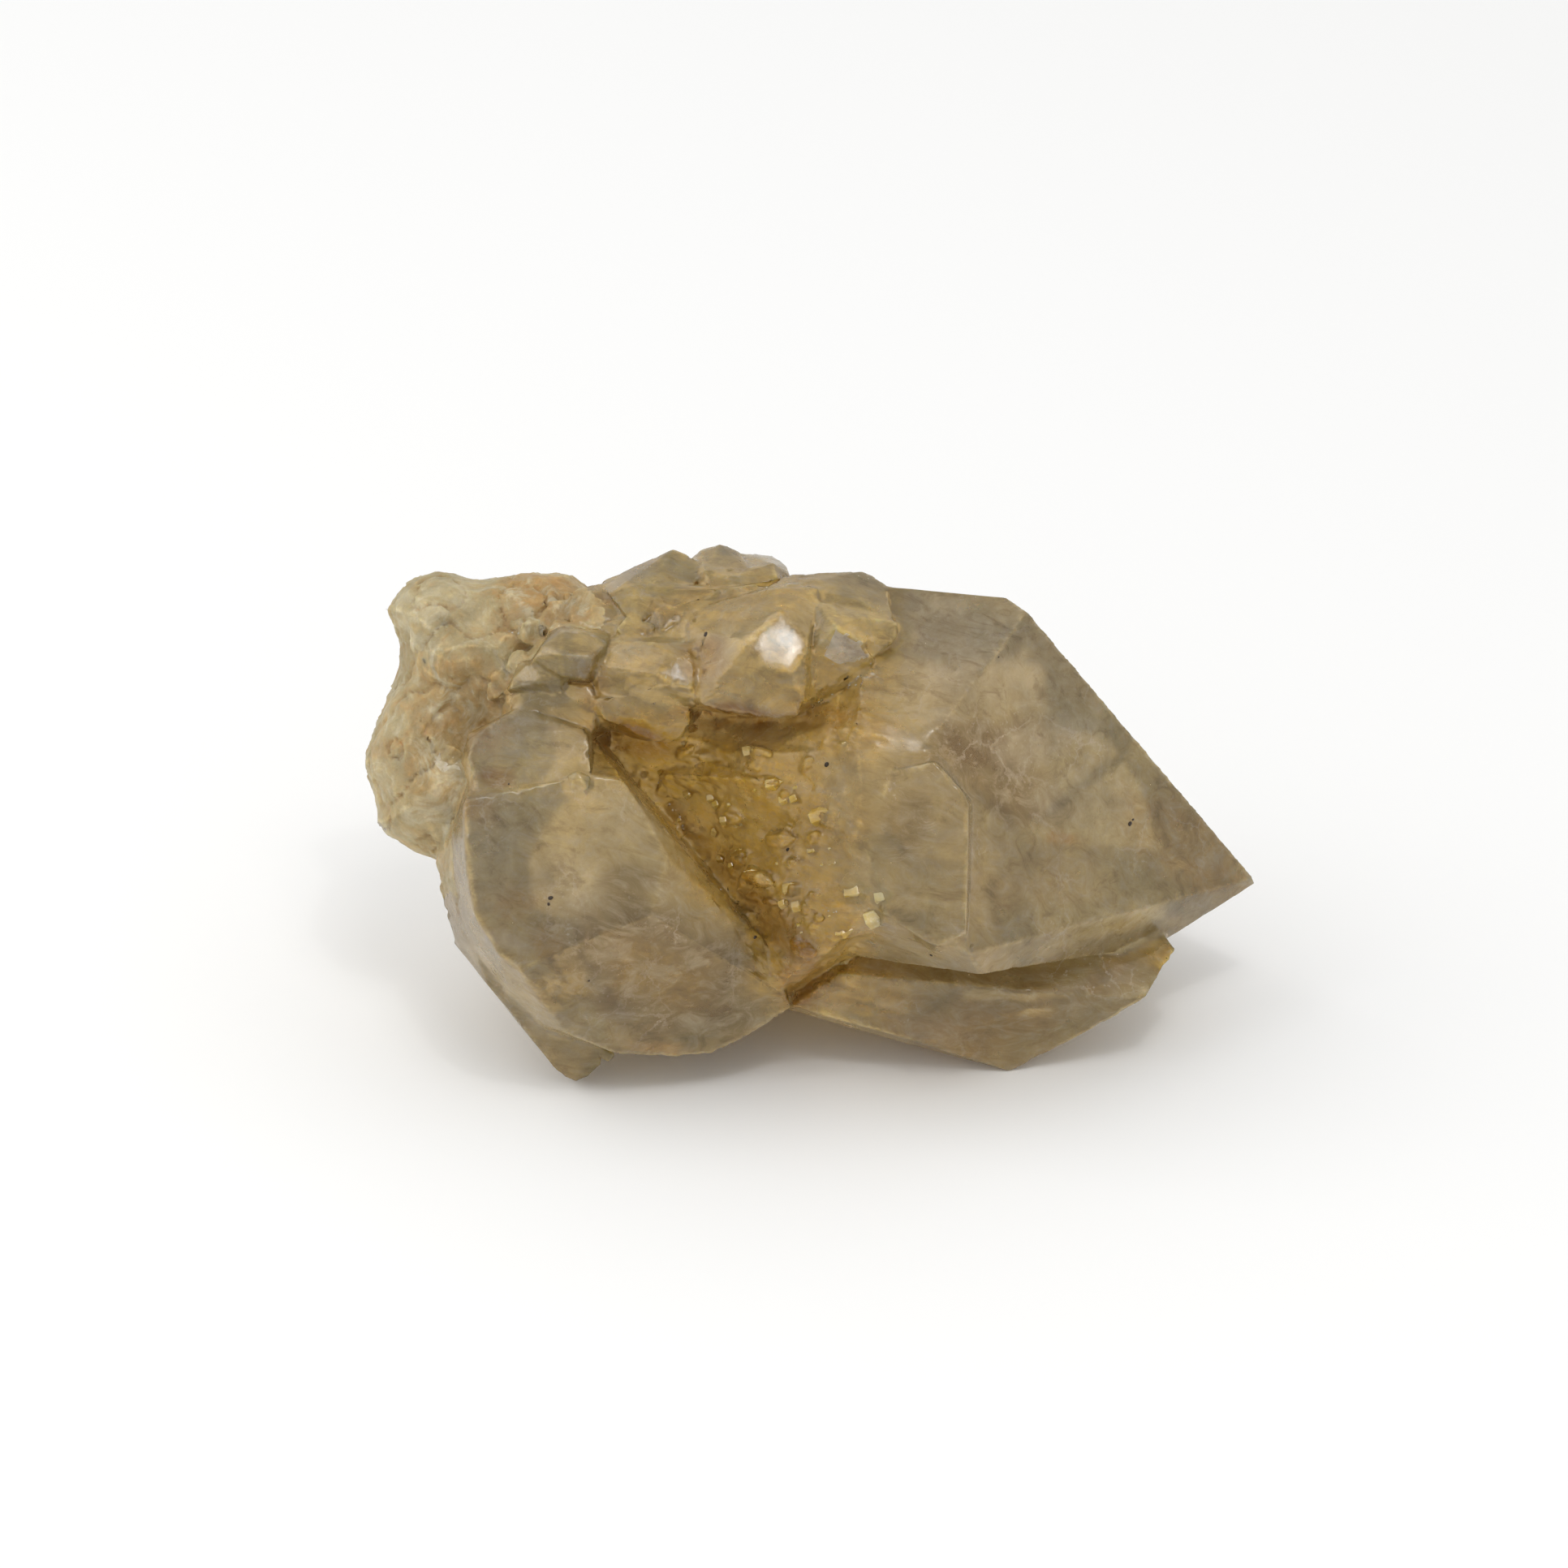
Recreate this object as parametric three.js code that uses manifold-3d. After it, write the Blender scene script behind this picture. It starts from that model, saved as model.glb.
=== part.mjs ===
// A hand-sized cluster of natural citrine: a great quartz point lying to the right, a lower point under it,
// a stubby point leaning out to the left, a ridge of short crystals on top and a broken milky base.
// Everything has grown together, so the cluster is one solid. Millimetres, +Z up, resting on z = 0.
//
// The crystals are laid out face-on, as a viewer sees them who looks down at VIEW_ELEVATION:
// u runs to the viewer's right, v runs up, and w runs towards the viewer. The last group turns that frame
// upright.
import * as THREE from "three";
import { ConvexGeometry } from "three/addons/geometries/ConvexGeometry.js";
import { mergeVertices } from "three/addons/utils/BufferGeometryUtils.js";
import { ImprovedNoise } from "three/addons/math/ImprovedNoise.js";
import Module from "manifold-3d";

const wasm = await Module();
wasm.setup();
const { Manifold, Mesh } = wasm;

// Driving dimensions
const VIEW_ELEVATION = 30; // degrees above the horizon
const FLOOR = -21; // height of the resting plane below the face-on origin, measured along +Z
const SMOOTHING = 0.01; // largest bump that is dropped where crystals cross
const BLOCK = 160; // edge of the rough block that each cleaved crystal is cut from
const FRONT_FACING = 86; // degrees; how nearly the great point's front is square to the viewer
const STEP_LEAN = 6.5; // degrees by which the growth step rises out of that front towards its right edge
const TIP_SLOPE = 1.27; // height of a quartz termination over the radius of its prism

const radians = THREE.MathUtils.degToRad;
const smoothstep = THREE.MathUtils.smoothstep;
const lerp = THREE.MathUtils.lerp;
const UP = new THREE.Vector3(0, Math.cos(radians(VIEW_ELEVATION)), Math.sin(radians(VIEW_ELEVATION)));
const noise = new ImprovedNoise();

function randomFrom(seed) {
  let state = seed;
  return () => {
    state = (state * 1664525 + 1013904223) % 4294967296;
    return state / 4294967296;
  };
}

function solidOf(geometry) {
  const bare = new THREE.BufferGeometry().setAttribute("position", geometry.getAttribute("position"));
  bare.setIndex(geometry.index);
  const merged = mergeVertices(bare, 1e-4);
  const index = merged.index.array;
  const triangles = [];
  for (let i = 0; i < index.length; i += 3) {
    const [a, b, c] = index.slice(i, i + 3);
    if (a !== b && b !== c && c !== a) triangles.push(a, b, c);
  }
  return new Manifold(
    new Mesh({
      numProp: 3,
      vertProperties: merged.attributes.position.array,
      triVerts: new Uint32Array(triangles),
    }),
  );
}

// Planes. A plane keeps the side that its normal points away from.

function face([u, v, w], right = 0, up = 0) {
  const normal = new THREE.Vector3(-right, -up, 1).normalize();
  return { normal, at: normal.dot(new THREE.Vector3(u, v, w)) };
}

function backFace([u, v, w], right = 0, up = 0) {
  const normal = new THREE.Vector3(right, up, -1).normalize();
  return { normal, at: normal.dot(new THREE.Vector3(u, v, w)) };
}

function onPlane(plane, [u, v]) {
  const { x, y, z } = plane.normal;
  return new THREE.Vector3(u, v, (plane.at - x * u - y * v) / z);
}

// The facet that meets `parent` along the line from p to q, on the side away from `heart`.
// `facing` is 90 degrees for a facet square to the viewer, 0 for one seen edge-on, and negative for one that
// is turned away.
function facet(parent, p, q, facing, heart) {
  const start = onPlane(parent, p);
  const along = onPlane(parent, q).sub(start).normalize();
  const outward = new THREE.Vector3(q[1] - p[1], p[0] - q[0], 0).normalize();
  if (outward.x * (heart[0] - p[0]) + outward.y * (heart[1] - p[1]) > 0) outward.negate();
  const towards = new THREE.Vector3().crossVectors(outward, along).normalize();
  if (towards.z < 0) towards.negate();
  const normal = outward
    .multiplyScalar(Math.cos(radians(facing)))
    .addScaledVector(towards, Math.sin(radians(facing)));
  return { normal, at: normal.dot(start) };
}

const floorPlane = { normal: UP.clone().negate(), at: -FLOOR };

function cleave(solid, planes) {
  return planes.reduce(
    (rest, { normal, at }) => rest.trimByPlane([-normal.x, -normal.y, -normal.z], -at),
    solid,
  );
}

function cleaved(planes) {
  return cleave(solidOf(new THREE.BoxGeometry(BLOCK, BLOCK, BLOCK)), planes);
}

// Corners that lie on one flat face, given as they are seen.
const on = (plane, ...spots) => spots.map((spot) => onPlane(plane, spot));
// Corners given as they are seen, all at one depth.
const at = (w, ...spots) => spots.map(([u, v]) => new THREE.Vector3(u, v, w));

// A block with flat faces, from its corners.
function block(...corners) {
  const points = corners.flat().map((c) => (Array.isArray(c) ? new THREE.Vector3(...c) : c));
  return solidOf(new ConvexGeometry(points));
}

// A six-sided quartz point with its tip at `tip`, pointing along `axis`. `lean` moves the tip off the axis,
// as a share of the radius, which makes some end faces larger than others.
function point(tip, axis, radius, length, { roll = 0, flat = 1, lean = [0, 0] } = {}) {
  const end = Math.min(radius * TIP_SLOPE, length * 0.8);
  const profile = [
    new THREE.Vector2(0, -length),
    new THREE.Vector2(radius, -length),
    new THREE.Vector2(radius, -end),
    new THREE.Vector2(0, 0),
  ];
  const shape = new THREE.LatheGeometry(profile, 6);
  const position = shape.getAttribute("position");
  for (let i = 0; i < position.count; i++) {
    if (position.getY(i) === 0) position.setXYZ(i, lean[0] * radius, 0, lean[1] * radius);
  }
  const direction = new THREE.Vector3(...axis).normalize();
  const turn = new THREE.Quaternion().setFromUnitVectors(new THREE.Vector3(0, 1, 0), direction);
  turn.multiply(new THREE.Quaternion().setFromAxisAngle(new THREE.Vector3(0, 1, 0), radians(roll)));
  shape.scale(1, 1, flat);
  shape.applyQuaternion(turn);
  shape.translate(...tip);
  return solidOf(shape);
}

// A broken chunk with a dozen corners. `flat` below 1 makes it a slab that faces the viewer.
function chunk([u, v, w], size, seed, flat = 0.85) {
  const random = randomFrom(seed * 7919 + 13);
  const turn = random() * 6;
  const count = 12;
  const corners = [];
  for (let i = 0; i < count; i++) {
    const height = 1 - (2 * i + 1) / count;
    const angle = turn + 2.4 * i + 0.6 * random();
    const reach = size * (0.7 + 0.5 * random());
    const across = reach * Math.sqrt(1 - height * height);
    corners.push([u + across * Math.cos(angle), v + across * Math.sin(angle), w + flat * reach * height]);
  }
  return block(corners);
}

// The great point, and the step of growth that stands a little proud of its front

function greatPoint() {
  const heart = [20, 0];
  const tip = [43.8, -6.5];
  const shoulder = [20.2, 20.9];
  const ridgeTop = [21.1, 19.5];
  const crown = [11.4, 6.6];
  const frontFoot = [15.1, -11.9];
  const chinStart = [18.5, -13];
  const lowTip = [43.3, -7.4];
  const lowNotch = [35.6, -12.2];
  const chin = [19.6, -15.3];
  const leftChin = [7.9, -10.7];
  const big = face([...tip, -2], -0.814, -0.091);
  const upper = facet(big, ridgeTop, crown, 73, heart);
  const front = facet(big, crown, frontFoot, FRONT_FACING, heart);
  const low = facet(big, tip, chinStart, 38, heart);
  const top = facet(upper, [7.4, 22.1], shoulder, -3, heart);
  const crystal = cleaved([
    big,
    upper,
    front,
    low,
    top,
    facet(big, shoulder, tip, -20, heart),
    facet(low, lowTip, lowNotch, -12, heart),
    facet(low, [35.7, -12.8], chin, -14, heart),
    facet(front, chin, leftChin, 20, heart),
    facet(front, [7.4, -9.5], [4.6, -2], 34, heart),
    facet(front, [4.6, -2], [4.4, 7], 34, heart),
    facet(upper, [4.4, 7], [5, 14], 30, heart),
    backFace([-12, 0, 0], -1, 0),
    backFace([10, 3, -15], 0.12, 0.1),
    backFace([...tip, -3.4], 0.78, 0.36),
    backFace([...tip, -3.4], 0.78, -0.3),
    backFace([10, 18, -4], 0.05, 1.2),
    backFace([10, -10, -8], 0.05, -1.1),
  ]);
  const proud = facet(front, [7, 4], [6.6, -10], FRONT_FACING - STEP_LEAN, heart);
  const step = block(
    on(proud, [12.2, 5], [14.7, 2.2], [15.35, 0.8], [15.1, -6.9], [15.1, -11.7], [12.4, -12.9]),
    on(proud, [9.6, -11.4], [6.6, -9.5], [6.4, -4.6], [6.6, -0.8], [7.4, 4]),
    at(19, [12.2, 5.4], [16, 1], [15.8, -12.4], [12.3, -13.8], [7, -9], [6, -5], [6.2, 0], [7.4, 4]),
    at(12, [12, -2]),
  );
  return [crystal, step];
}

// The lower point

function lowerPoint() {
  const mid = face([12.2, -22.5, 5.8], 0.02, 0.5);
  const edge = [onPlane(mid, [2.8, -15.8]), onPlane(mid, [14.8, -18.8]), onPlane(mid, [21.4, -17.5])];
  return block(
    on(mid, [-1.8, -19], [5.9, -17.1], [12.2, -22.5], [14.8, -20.9], [21.2, -19.3], [10.5, -22.5]),
    edge,
    [
      [19.8, -25.5, 2.2],
      [25.1, -22.5, 3.6],
      [29.9, -20.1, 5.2],
      [32.9, -18.2, 6],
      [33.3, -17, 5.6],
      [34.2, -15.6, 4.6],
      [35.9, -13.4, 3],
      [-2.2, -19.4, 4],
      [10.6, -23.1, 2.4],
    ],
    at(1, [3, -10], [34, -10.5], [20, -8]),
    at(-9, [0, -11], [30, -10], [32, -14], [4, -15.5], [22, -15.5]),
  );
}

// The stubby point that leans out to the lower left

const leftFront = face([-20, -5, 19.5], -0.08, -0.05);

function leftPoint() {
  const front = leftFront;
  const low = face([-15.4, -10, 19.6], -0.29, 0.72);
  const right = face([-15.4, -10, 19.6], -0.66, 0.14);
  return block(
    on(front, [-33.6, 1.2], [-33.6, -2.4], [-33.3, -6], [-32.6, -10], [-30.3, -13.7], [-28.4, -15.2]),
    on(front, [-15.4, -10], [-13.9, -4.4], [-16.6, 0.5], [-18.3, 3.1], [-21.4, 3.6]),
    at(12, [-32.5, 6], [-21, 7]),
    on(low, [-24, -21.5], [-18.8, -23.7], [-13.2, -24], [-9.5, -23.6], [-6.1, -22], [-1.8, -19.2]),
    on(low, [-2.4, -18.1]),
    on(right, [-4.4, -16.9], [-3.2, -14.8], [-4.9, -12.2], [-9.8, -8.1]),
    at(9, [-36.7, -5], [-36.2, -8], [-34.8, -12.7], [-31, -17.6], [-29, -20]),
    at(-2, [-35, 4], [-34, -8], [-28, -17], [-14, -21], [-5, -17], [-8, -8], [-18, 4]),
    at(-12, [-30, 2], [-28, -10], [-14, -13], [-6, -12], [-16, 4]),
  );
}

function leftCap() {
  const front = facet(leftFront, [-33, -2], [-22, 3.2], 72, [-20, -8]);
  return block(
    on(front, [-33.4, 5.2], [-32.8, 7.2], [-31.4, 8.5], [-28.4, 9.7], [-27, 9.4], [-21.8, 8], [-21.4, 3.6]),
    on(front, [-24.2, 3], [-32, -1]),
    at(16, [-34.2, 5], [-33.4, 7.8], [-28.2, 10.4], [-21.3, 8.6], [-21.2, 3.3]),
    at(4, [-33, 4], [-28, 9], [-22, 8], [-22, 3], [-31, 0]),
  );
}

function leftToe() {
  return block(
    [
      [-33.5, -11.5, 14],
      [-27.5, -14, 17.5],
      [-22.5, -14.5, 16.5],
      [-21, -19, 12],
      [-20.2, -21, 10],
      [-20.6, -25, 6],
      [-21.6, -25.9, 5.4],
      [-23, -26.5, 4.6],
      [-24, -26.1, 5],
      [-25, -25.2, 6.6],
      [-29.1, -19.8, 11],
      [-31.5, -17, 12],
      [-35, -12.7, 8],
    ],
    at(-1, [-32, -12], [-27, -19], [-21, -20], [-22, -12]),
  );
}

// The golden hollow between the crystals: ribs run out from the base, and its floor rises to the right

function hollowDepth(u, v) {
  const rise = lerp(10, 20.2, smoothstep(u + 0.1 * v, -14, 5));
  const roof = -4.5 * smoothstep(v, 5, 10) * smoothstep(u, -13, -7) * (1 - smoothstep(u, -2, 6));
  const beside = (u + 18.3) * 0.766 + (v - 3.1) * 0.643;
  const gutter = -3.5 * (1 - smoothstep(beside, 0, 6));
  const edge = -7 * smoothstep(u, 5.6, 9.5) - 14 * smoothstep(0.62 * u - 0.78 * v, 11.2, 14);
  const corner = -8 * smoothstep(v, 8.5, 12.5) * smoothstep(u, 2, 6);
  const along = 0.966 * u - 0.259 * v;
  const across = 0.259 * u + 0.966 * v;
  const ribs = 0.7 * noise.noise(0.07 * along, 0.33 * across, 3.3);
  const humps = 1.5 * noise.noise(0.16 * u, 0.2 * v, 8.1);
  return rise + roof + gutter + edge + corner + ribs + humps;
}

function hollow() {
  const [left, right, bottom, top] = [-25, 10.5, -18.2, 14];
  const shape = new THREE.BoxGeometry(right - left, top - bottom, 2, 32, 28, 1);
  shape.translate((left + right) / 2, (bottom + top) / 2, 0);
  const position = shape.getAttribute("position");
  for (let i = 0; i < position.count; i++) {
    const front = position.getZ(i) > 0;
    position.setZ(i, front ? hollowDepth(position.getX(i), position.getY(i)) : -8);
  }
  return solidOf(shape);
}

// The ridge of short crystals along the top

function ridgePoint() {
  const glint = face([-3, 16.6, 20.9], -0.06, -0.28);
  const below = face([-3, 14, 21.6], 0.02, 0.42);
  return block(
    on(glint, [-3, 19.5], [-1.1, 17.8], [-0.3, 16.6], [-0.3, 15.8], [-1, 15.1], [-1.9, 13.8], [-3.1, 14.1]),
    on(glint, [-4.3, 14.4], [-5.1, 15.4], [-6.1, 16.6], [-5.1, 17.6]),
    on(below, [-10.6, 10.6], [-7.6, 9.5], [-4.4, 9.5], [-3, 9.1], [-1.5, 9.5], [-0.5, 10.8]),
    [
      [-11.5, 14, 18.4],
      [-10, 17.5, 18],
      [-7, 19.5, 17.8],
      [-3.2, 22, 16.5],
      [0.8, 22, 16.2],
      [0.6, 19, 18],
    ],
    at(13.5, [-13.4, 10.6], [-13.4, 19.6], [2.2, 20], [2, 12]),
    at(8, [-12, 11], [-12, 21], [1, 22], [0, 10]),
  );
}

function ridgeNeighbour() {
  const glow = face([3, 16, 20], 0.05, 0.45);
  return [
    block(
      on(glow, [2.6, 18.1], [5.1, 16.7], [6, 15.2], [3, 14.7], [0.1, 15.8]),
      [
        [6.3, 14.6, 18.8],
        [4.5, 12.9, 18.2],
        [3, 12, 18],
        [0.7, 10.6, 18],
        [-0.6, 11, 18.6],
        [0.4, 18, 19],
        [0.2, 20.6, 17.2],
        [2.4, 20.4, 17.4],
      ],
      at(9, [5, 17], [5, 13], [1, 11], [0, 18]),
    ),
    block(
      [
        [2.6, 18.2, 20.2],
        [3.6, 18.8, 19.4],
        [5.2, 19, 19],
        [8.5, 18.5, 18.2],
        [8.5, 17.3, 18.3],
        [7.9, 16.3, 18.6],
        [6.1, 15.1, 19.2],
        [5.1, 16.7, 20],
        [0.8, 20.5, 16.8],
        [6, 20.2, 16.2],
      ],
      at(8, [1, 18], [7, 18], [7, 20]),
    ),
    block(
      [
        [-2, 23.3, 12.5],
        [0.4, 23.1, 12.5],
        [4.3, 23.6, 12],
        [5.1, 23.6, 12],
        [6.1, 23.2, 12],
        [7.5, 22.2, 13],
        [3.4, 22.4, 14.5],
        [5.4, 20.5, 16.8],
        [8, 18.8, 17.6],
        [4, 19.6, 17.2],
        [0.2, 22, 15.8],
        [-2.2, 22.2, 15.8],
        [-5, 21.6, 15.8],
      ],
      at(2, [-4.5, 21], [6, 21], [4, 12], [-5, 12]),
      at(10, [-6, 12.5], [5, 12.5]),
    ),
  ];
}

function peaks() {
  return [
    block(
      [
        [-20.6, 22.6, 9],
        [-18.3, 23.4, 8],
        [-15.4, 24.9, 8],
        [-13.4, 25.9, 7.5],
        [-11.7, 25.2, 8],
        [-10.6, 24.2, 9],
        [-19.7, 21.4, 13],
        [-15.5, 22.6, 12.4],
        [-15.2, 21, 13.6],
        [-17.2, 18.5, 15.5],
        [-12.4, 21.2, 12.6],
        [-10.9, 22.9, 10.6],
      ],
      at(-5, [-18, 17], [-13, 17.5], [-14, 12]),
    ),
    block(
      [
        [-12.2, 23.4, 8.4],
        [-11.6, 25.1, 6],
        [-10.7, 25.9, 6],
        [-8.9, 26.4, 6],
        [-8.4, 26.3, 6],
        [-6.9, 25.6, 7],
        [-10.4, 23.6, 11.5],
        [-8.2, 23, 12.6],
        [-5.8, 23.6, 11.4],
        [-7, 25.2, 8],
        [-9.8, 21, 13.5],
        [-7.2, 21.8, 13.4],
      ],
      at(-6, [-10.5, 17], [-7, 16.5], [-8, 12]),
    ),
    block(
      [
        [-7, 25.5, 5],
        [-5.6, 25.5, 5],
        [-3.8, 25.3, 5],
        [-3, 24.8, 6],
        [-2.2, 24.1, 7],
        [-2, 23.3, 9],
        [-6.4, 23.6, 11.4],
        [-3.6, 24.4, 10.2],
        [-3.2, 22.8, 12.4],
        [-7, 22.2, 13],
      ],
      at(-4, [-6, 17], [-3, 17.5], [-4, 12]),
    ),
  ];
}

// The tan slope behind the ridge, between the peaks and the blocks in front
function slope() {
  return block(
    [
      [-24, 21.5, 11],
      [-21.4, 22.3, 10],
      [-18, 22.5, 10],
      [-23, 18, 14],
      [-20, 14, 16.5],
      [-12, 14, 17.5],
      [-9, 19, 15.5],
      [-6, 22, 14],
      [0, 22, 14],
      [-12, 20.8, 13.4],
    ],
    at(0, [-24, 20], [0, 20], [0, 12], [-24, 12]),
  );
}

function blocks() {
  return [
    block(
      [
        [-14.8, 13.5, 20],
        [-13, 15.1, 19.4],
        [-11.8, 15.4, 19],
        [-11.4, 13.8, 19.5],
        [-11.6, 12.3, 20.1],
        [-13.2, 12.6, 20.3],
        [-10.7, 10.9, 18],
        [-11.8, 9.7, 17.6],
        [-20.4, 10.9, 17.4],
        [-20.9, 14.4, 17.4],
        [-18.5, 16.8, 16.8],
        [-15.4, 16.6, 18],
        [-12.4, 16.6, 17.4],
      ],
      at(13.5, [-22, 10.5], [-10.2, 10.4], [-10.4, 17.6], [-21.8, 17.6]),
      at(3, [-20, 10.6], [-12, 10.6], [-12, 17], [-20, 17]),
    ),
    block(
      [
        [-11.7, 9.8, 18.2],
        [-11.8, 8.8, 17.6],
        [-12.5, 7.5, 16.6],
        [-13.6, 6.8, 16.2],
        [-15, 7, 16.4],
        [-17.7, 8.2, 17.2],
        [-20.2, 9, 17.6],
        [-21, 11.1, 18],
        [-15, 11.6, 18.8],
      ],
      at(12, [-22.2, 8.6], [-22, 11], [-10.6, 9.8]),
      at(6, [-20, 10], [-12, 10], [-13, 8], [-18, 9]),
    ),
    block(
      [
        [-27, 15, 18.4],
        [-26.5, 15.9, 18.4],
        [-24.2, 17.7, 17.4],
        [-21.9, 17.7, 17],
        [-20.1, 16.9, 17.4],
        [-19.9, 16.4, 17.8],
        [-21.3, 15.2, 18.9],
        [-21.4, 13.9, 18.4],
        [-22, 12.9, 18.2],
        [-24.1, 13.3, 18.8],
        [-24.4, 15.4, 19.4],
      ],
      at(13.5, [-28, 13], [-19.8, 12.4], [-19.2, 17.8], [-25, 18.8]),
      at(8, [-26, 14], [-21, 14], [-21, 17], [-25, 17]),
    ),
    block(
      [
        [-29.3, 12.1, 16.6],
        [-29, 13, 16.8],
        [-27.8, 14.3, 17],
        [-25.8, 14.2, 17.6],
        [-24.1, 13.4, 17.9],
        [-24, 12.9, 17.8],
        [-24.6, 11.7, 17],
        [-26.6, 12.8, 18],
      ],
      at(13, [-30.6, 11.4], [-23.2, 11], [-23.4, 15], [-29, 15.4]),
      at(7, [-29, 12], [-24.5, 12], [-24.5, 14], [-28, 14]),
    ),
    block(
      [
        [-24, 12.6, 17],
        [-21.4, 12.4, 17.2],
        [-20.9, 10.4, 17.4],
        [-21, 8.2, 17],
        [-21.6, 7.6, 16.6],
        [-28, 9, 16],
        [-29.5, 11, 15.6],
        [-27, 12.4, 16.8],
      ],
      at(12.5, [-30.4, 8.2], [-19.6, 7.6], [-19.4, 13.2], [-29.6, 13]),
      at(4, [-29, 8], [-21, 8], [-19.6, 14], [-28, 14]),
    ),
    // The broken quartz that they stand in
    block(
      at(16.3, [-27.6, 10.2], [-20.6, 9.2], [-17.6, 11.6], [-17.8, 16.2]),
      at(16.3, [-21.6, 16.9], [-25.6, 16.2], [-27.6, 13.6]),
      at(11, [-29.6, 9.6], [-18.6, 8.6], [-16, 11.6], [-16.4, 18.4]),
      at(11, [-21.6, 19], [-26.6, 18.2], [-29.8, 14.4]),
    ),
  ];
}

// The broken milky base at the upper left

const BASE_CENTRE = [-32, 9];
const BASE_OUTLINE = [
  [-19, 9],
  [-20, 21],
  [-22.6, 22.6],
  [-23.8, 23.5],
  [-27.7, 23.5],
  [-31.1, 23],
  [-33.2, 22.7],
  [-34.8, 23.5],
  [-36.3, 23.8],
  [-38.9, 23.2],
  [-40.2, 22.2],
  [-41.6, 19.9],
  [-40.3, 17.9],
  [-40.2, 14.4],
  [-42.4, 9.1],
  [-43.7, 5.7],
  [-43.8, 4],
  [-42.6, 1.6],
  [-42.5, -1.6],
  [-38.7, -3.9],
  [-36.5, -4.7],
  [-31, -7],
  [-22, -5],
];

// How far the base reaches from its middle in the direction (x, y).
function baseReach(x, y) {
  const [cu, cv] = BASE_CENTRE;
  for (let i = 0; i < BASE_OUTLINE.length; i++) {
    const [pu, pv] = BASE_OUTLINE[i];
    const [qu, qv] = BASE_OUTLINE[(i + 1) % BASE_OUTLINE.length];
    const cross = x * (qv - pv) - y * (qu - pu);
    const reach = ((pu - cu) * (qv - pv) - (pv - cv) * (qu - pu)) / cross;
    const share = ((pu - cu) * y - (pv - cv) * x) / cross;
    if (reach > 0 && share >= 0 && share <= 1) return reach;
  }
  throw new Error("the base outline is open");
}

// Swellings and hollows of the base's front: middle, half widths, turn in degrees, and height.
const BASE_RELIEF = [
  { at: [-37.5, 20], half: [3.2, 2.8], turn: 0, height: 1.6 },
  { at: [-30.5, 20.5], half: [4, 2.6], turn: 15, height: 1.2 },
  { at: [-31, 16.6], half: [8, 1.1], turn: 17, height: 1.5 },
  { at: [-37.6, 14.6], half: [1.6, 1.4], turn: 0, height: 1.4 },
  { at: [-39.4, 15.6], half: [1.4, 2.4], turn: 0, height: -2.2 },
  { at: [-33.5, 8.6], half: [4, 3.6], turn: -30, height: -3 },
  { at: [-41, 4.5], half: [2, 6], turn: -8, height: 1.4 },
];

function baseRelief(u, v) {
  let sum = 0.8 * noise.noise(0.23 * u, 0.23 * v, 1.7) + 0.5 * noise.noise(0.55 * u, 0.55 * v, 6.2);
  for (const { at: [cu, cv], half, turn, height } of BASE_RELIEF) {
    const [c, s] = [Math.cos(radians(turn)), Math.sin(radians(turn))];
    const x = ((u - cu) * c + (v - cv) * s) / half[0];
    const y = ((v - cv) * c - (u - cu) * s) / half[1];
    sum += height * Math.exp(-x * x - y * y);
  }
  return sum;
}

function base() {
  const [front, back] = [10, 13];
  const shape = new THREE.IcosahedronGeometry(1, 9);
  const position = shape.getAttribute("position");
  for (let i = 0; i < position.count; i++) {
    const [x, y, z] = [position.getX(i), position.getY(i), position.getZ(i)];
    const out = Math.hypot(x, y);
    const reach = out > 0 ? baseReach(x / out, y / out) * out : 0;
    const full = Math.sign(z) * Math.abs(z) ** 0.75;
    const u = BASE_CENTRE[0] + (out > 0 ? (x / out) * reach : 0);
    const v = BASE_CENTRE[1] + (out > 0 ? (y / out) * reach : 0);
    const relief = baseRelief(u, v) * Math.abs(full);
    position.setXYZ(i, u, v, 4 + (z > 0 ? front * full + relief : back * full - 1.5 * relief));
  }
  return cleave(solidOf(shape), [
    backFace([-34, 12, -6.5], -0.3, 0.3),
    backFace([-40.5, 8, 0], -1.6, 0.2),
    backFace([-36, 20, 0], -0.7, 1.3),
    backFace([-36, -1, -1], -0.6, -0.9),
    backFace([-28, 20, -3], 0.2, 1.1),
  ]);
}

// Small crystals

// The ones that stand out in the hollow: where, how wide, and the way they lean
const HOLLOW_CRYSTALS = [
  { at: [1.1, 0.1], radius: 1, lean: [-0.2, 0.5] },
  { at: [5, -7.5], radius: 1.3, lean: [-0.1, 0.35] },
  { at: [6.9, -10], radius: 1.1, lean: [0.3, 0.4] },
  { at: [-5.3, -5.6], radius: 0.9, lean: [0.4, 0.5] },
  { at: [-6.5, -3.8], radius: 0.9, lean: [0.3, 0.6] },
  { at: [-1.8, -7.1], radius: 0.8, lean: [0, 0.6] },
  { at: [-2.3, -8.7], radius: 0.7, lean: [0.1, 0.5] },
  { at: [-0.6, -8.9], radius: 0.7, lean: [-0.2, 0.5] },
  { at: [-3.2, 3], radius: 1, lean: [0.4, 0.3] },
  { at: [3.4, 2.2], radius: 1, lean: [0.1, 0.6] },
];
const HOLLOW_SCATTER = 44;

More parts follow.
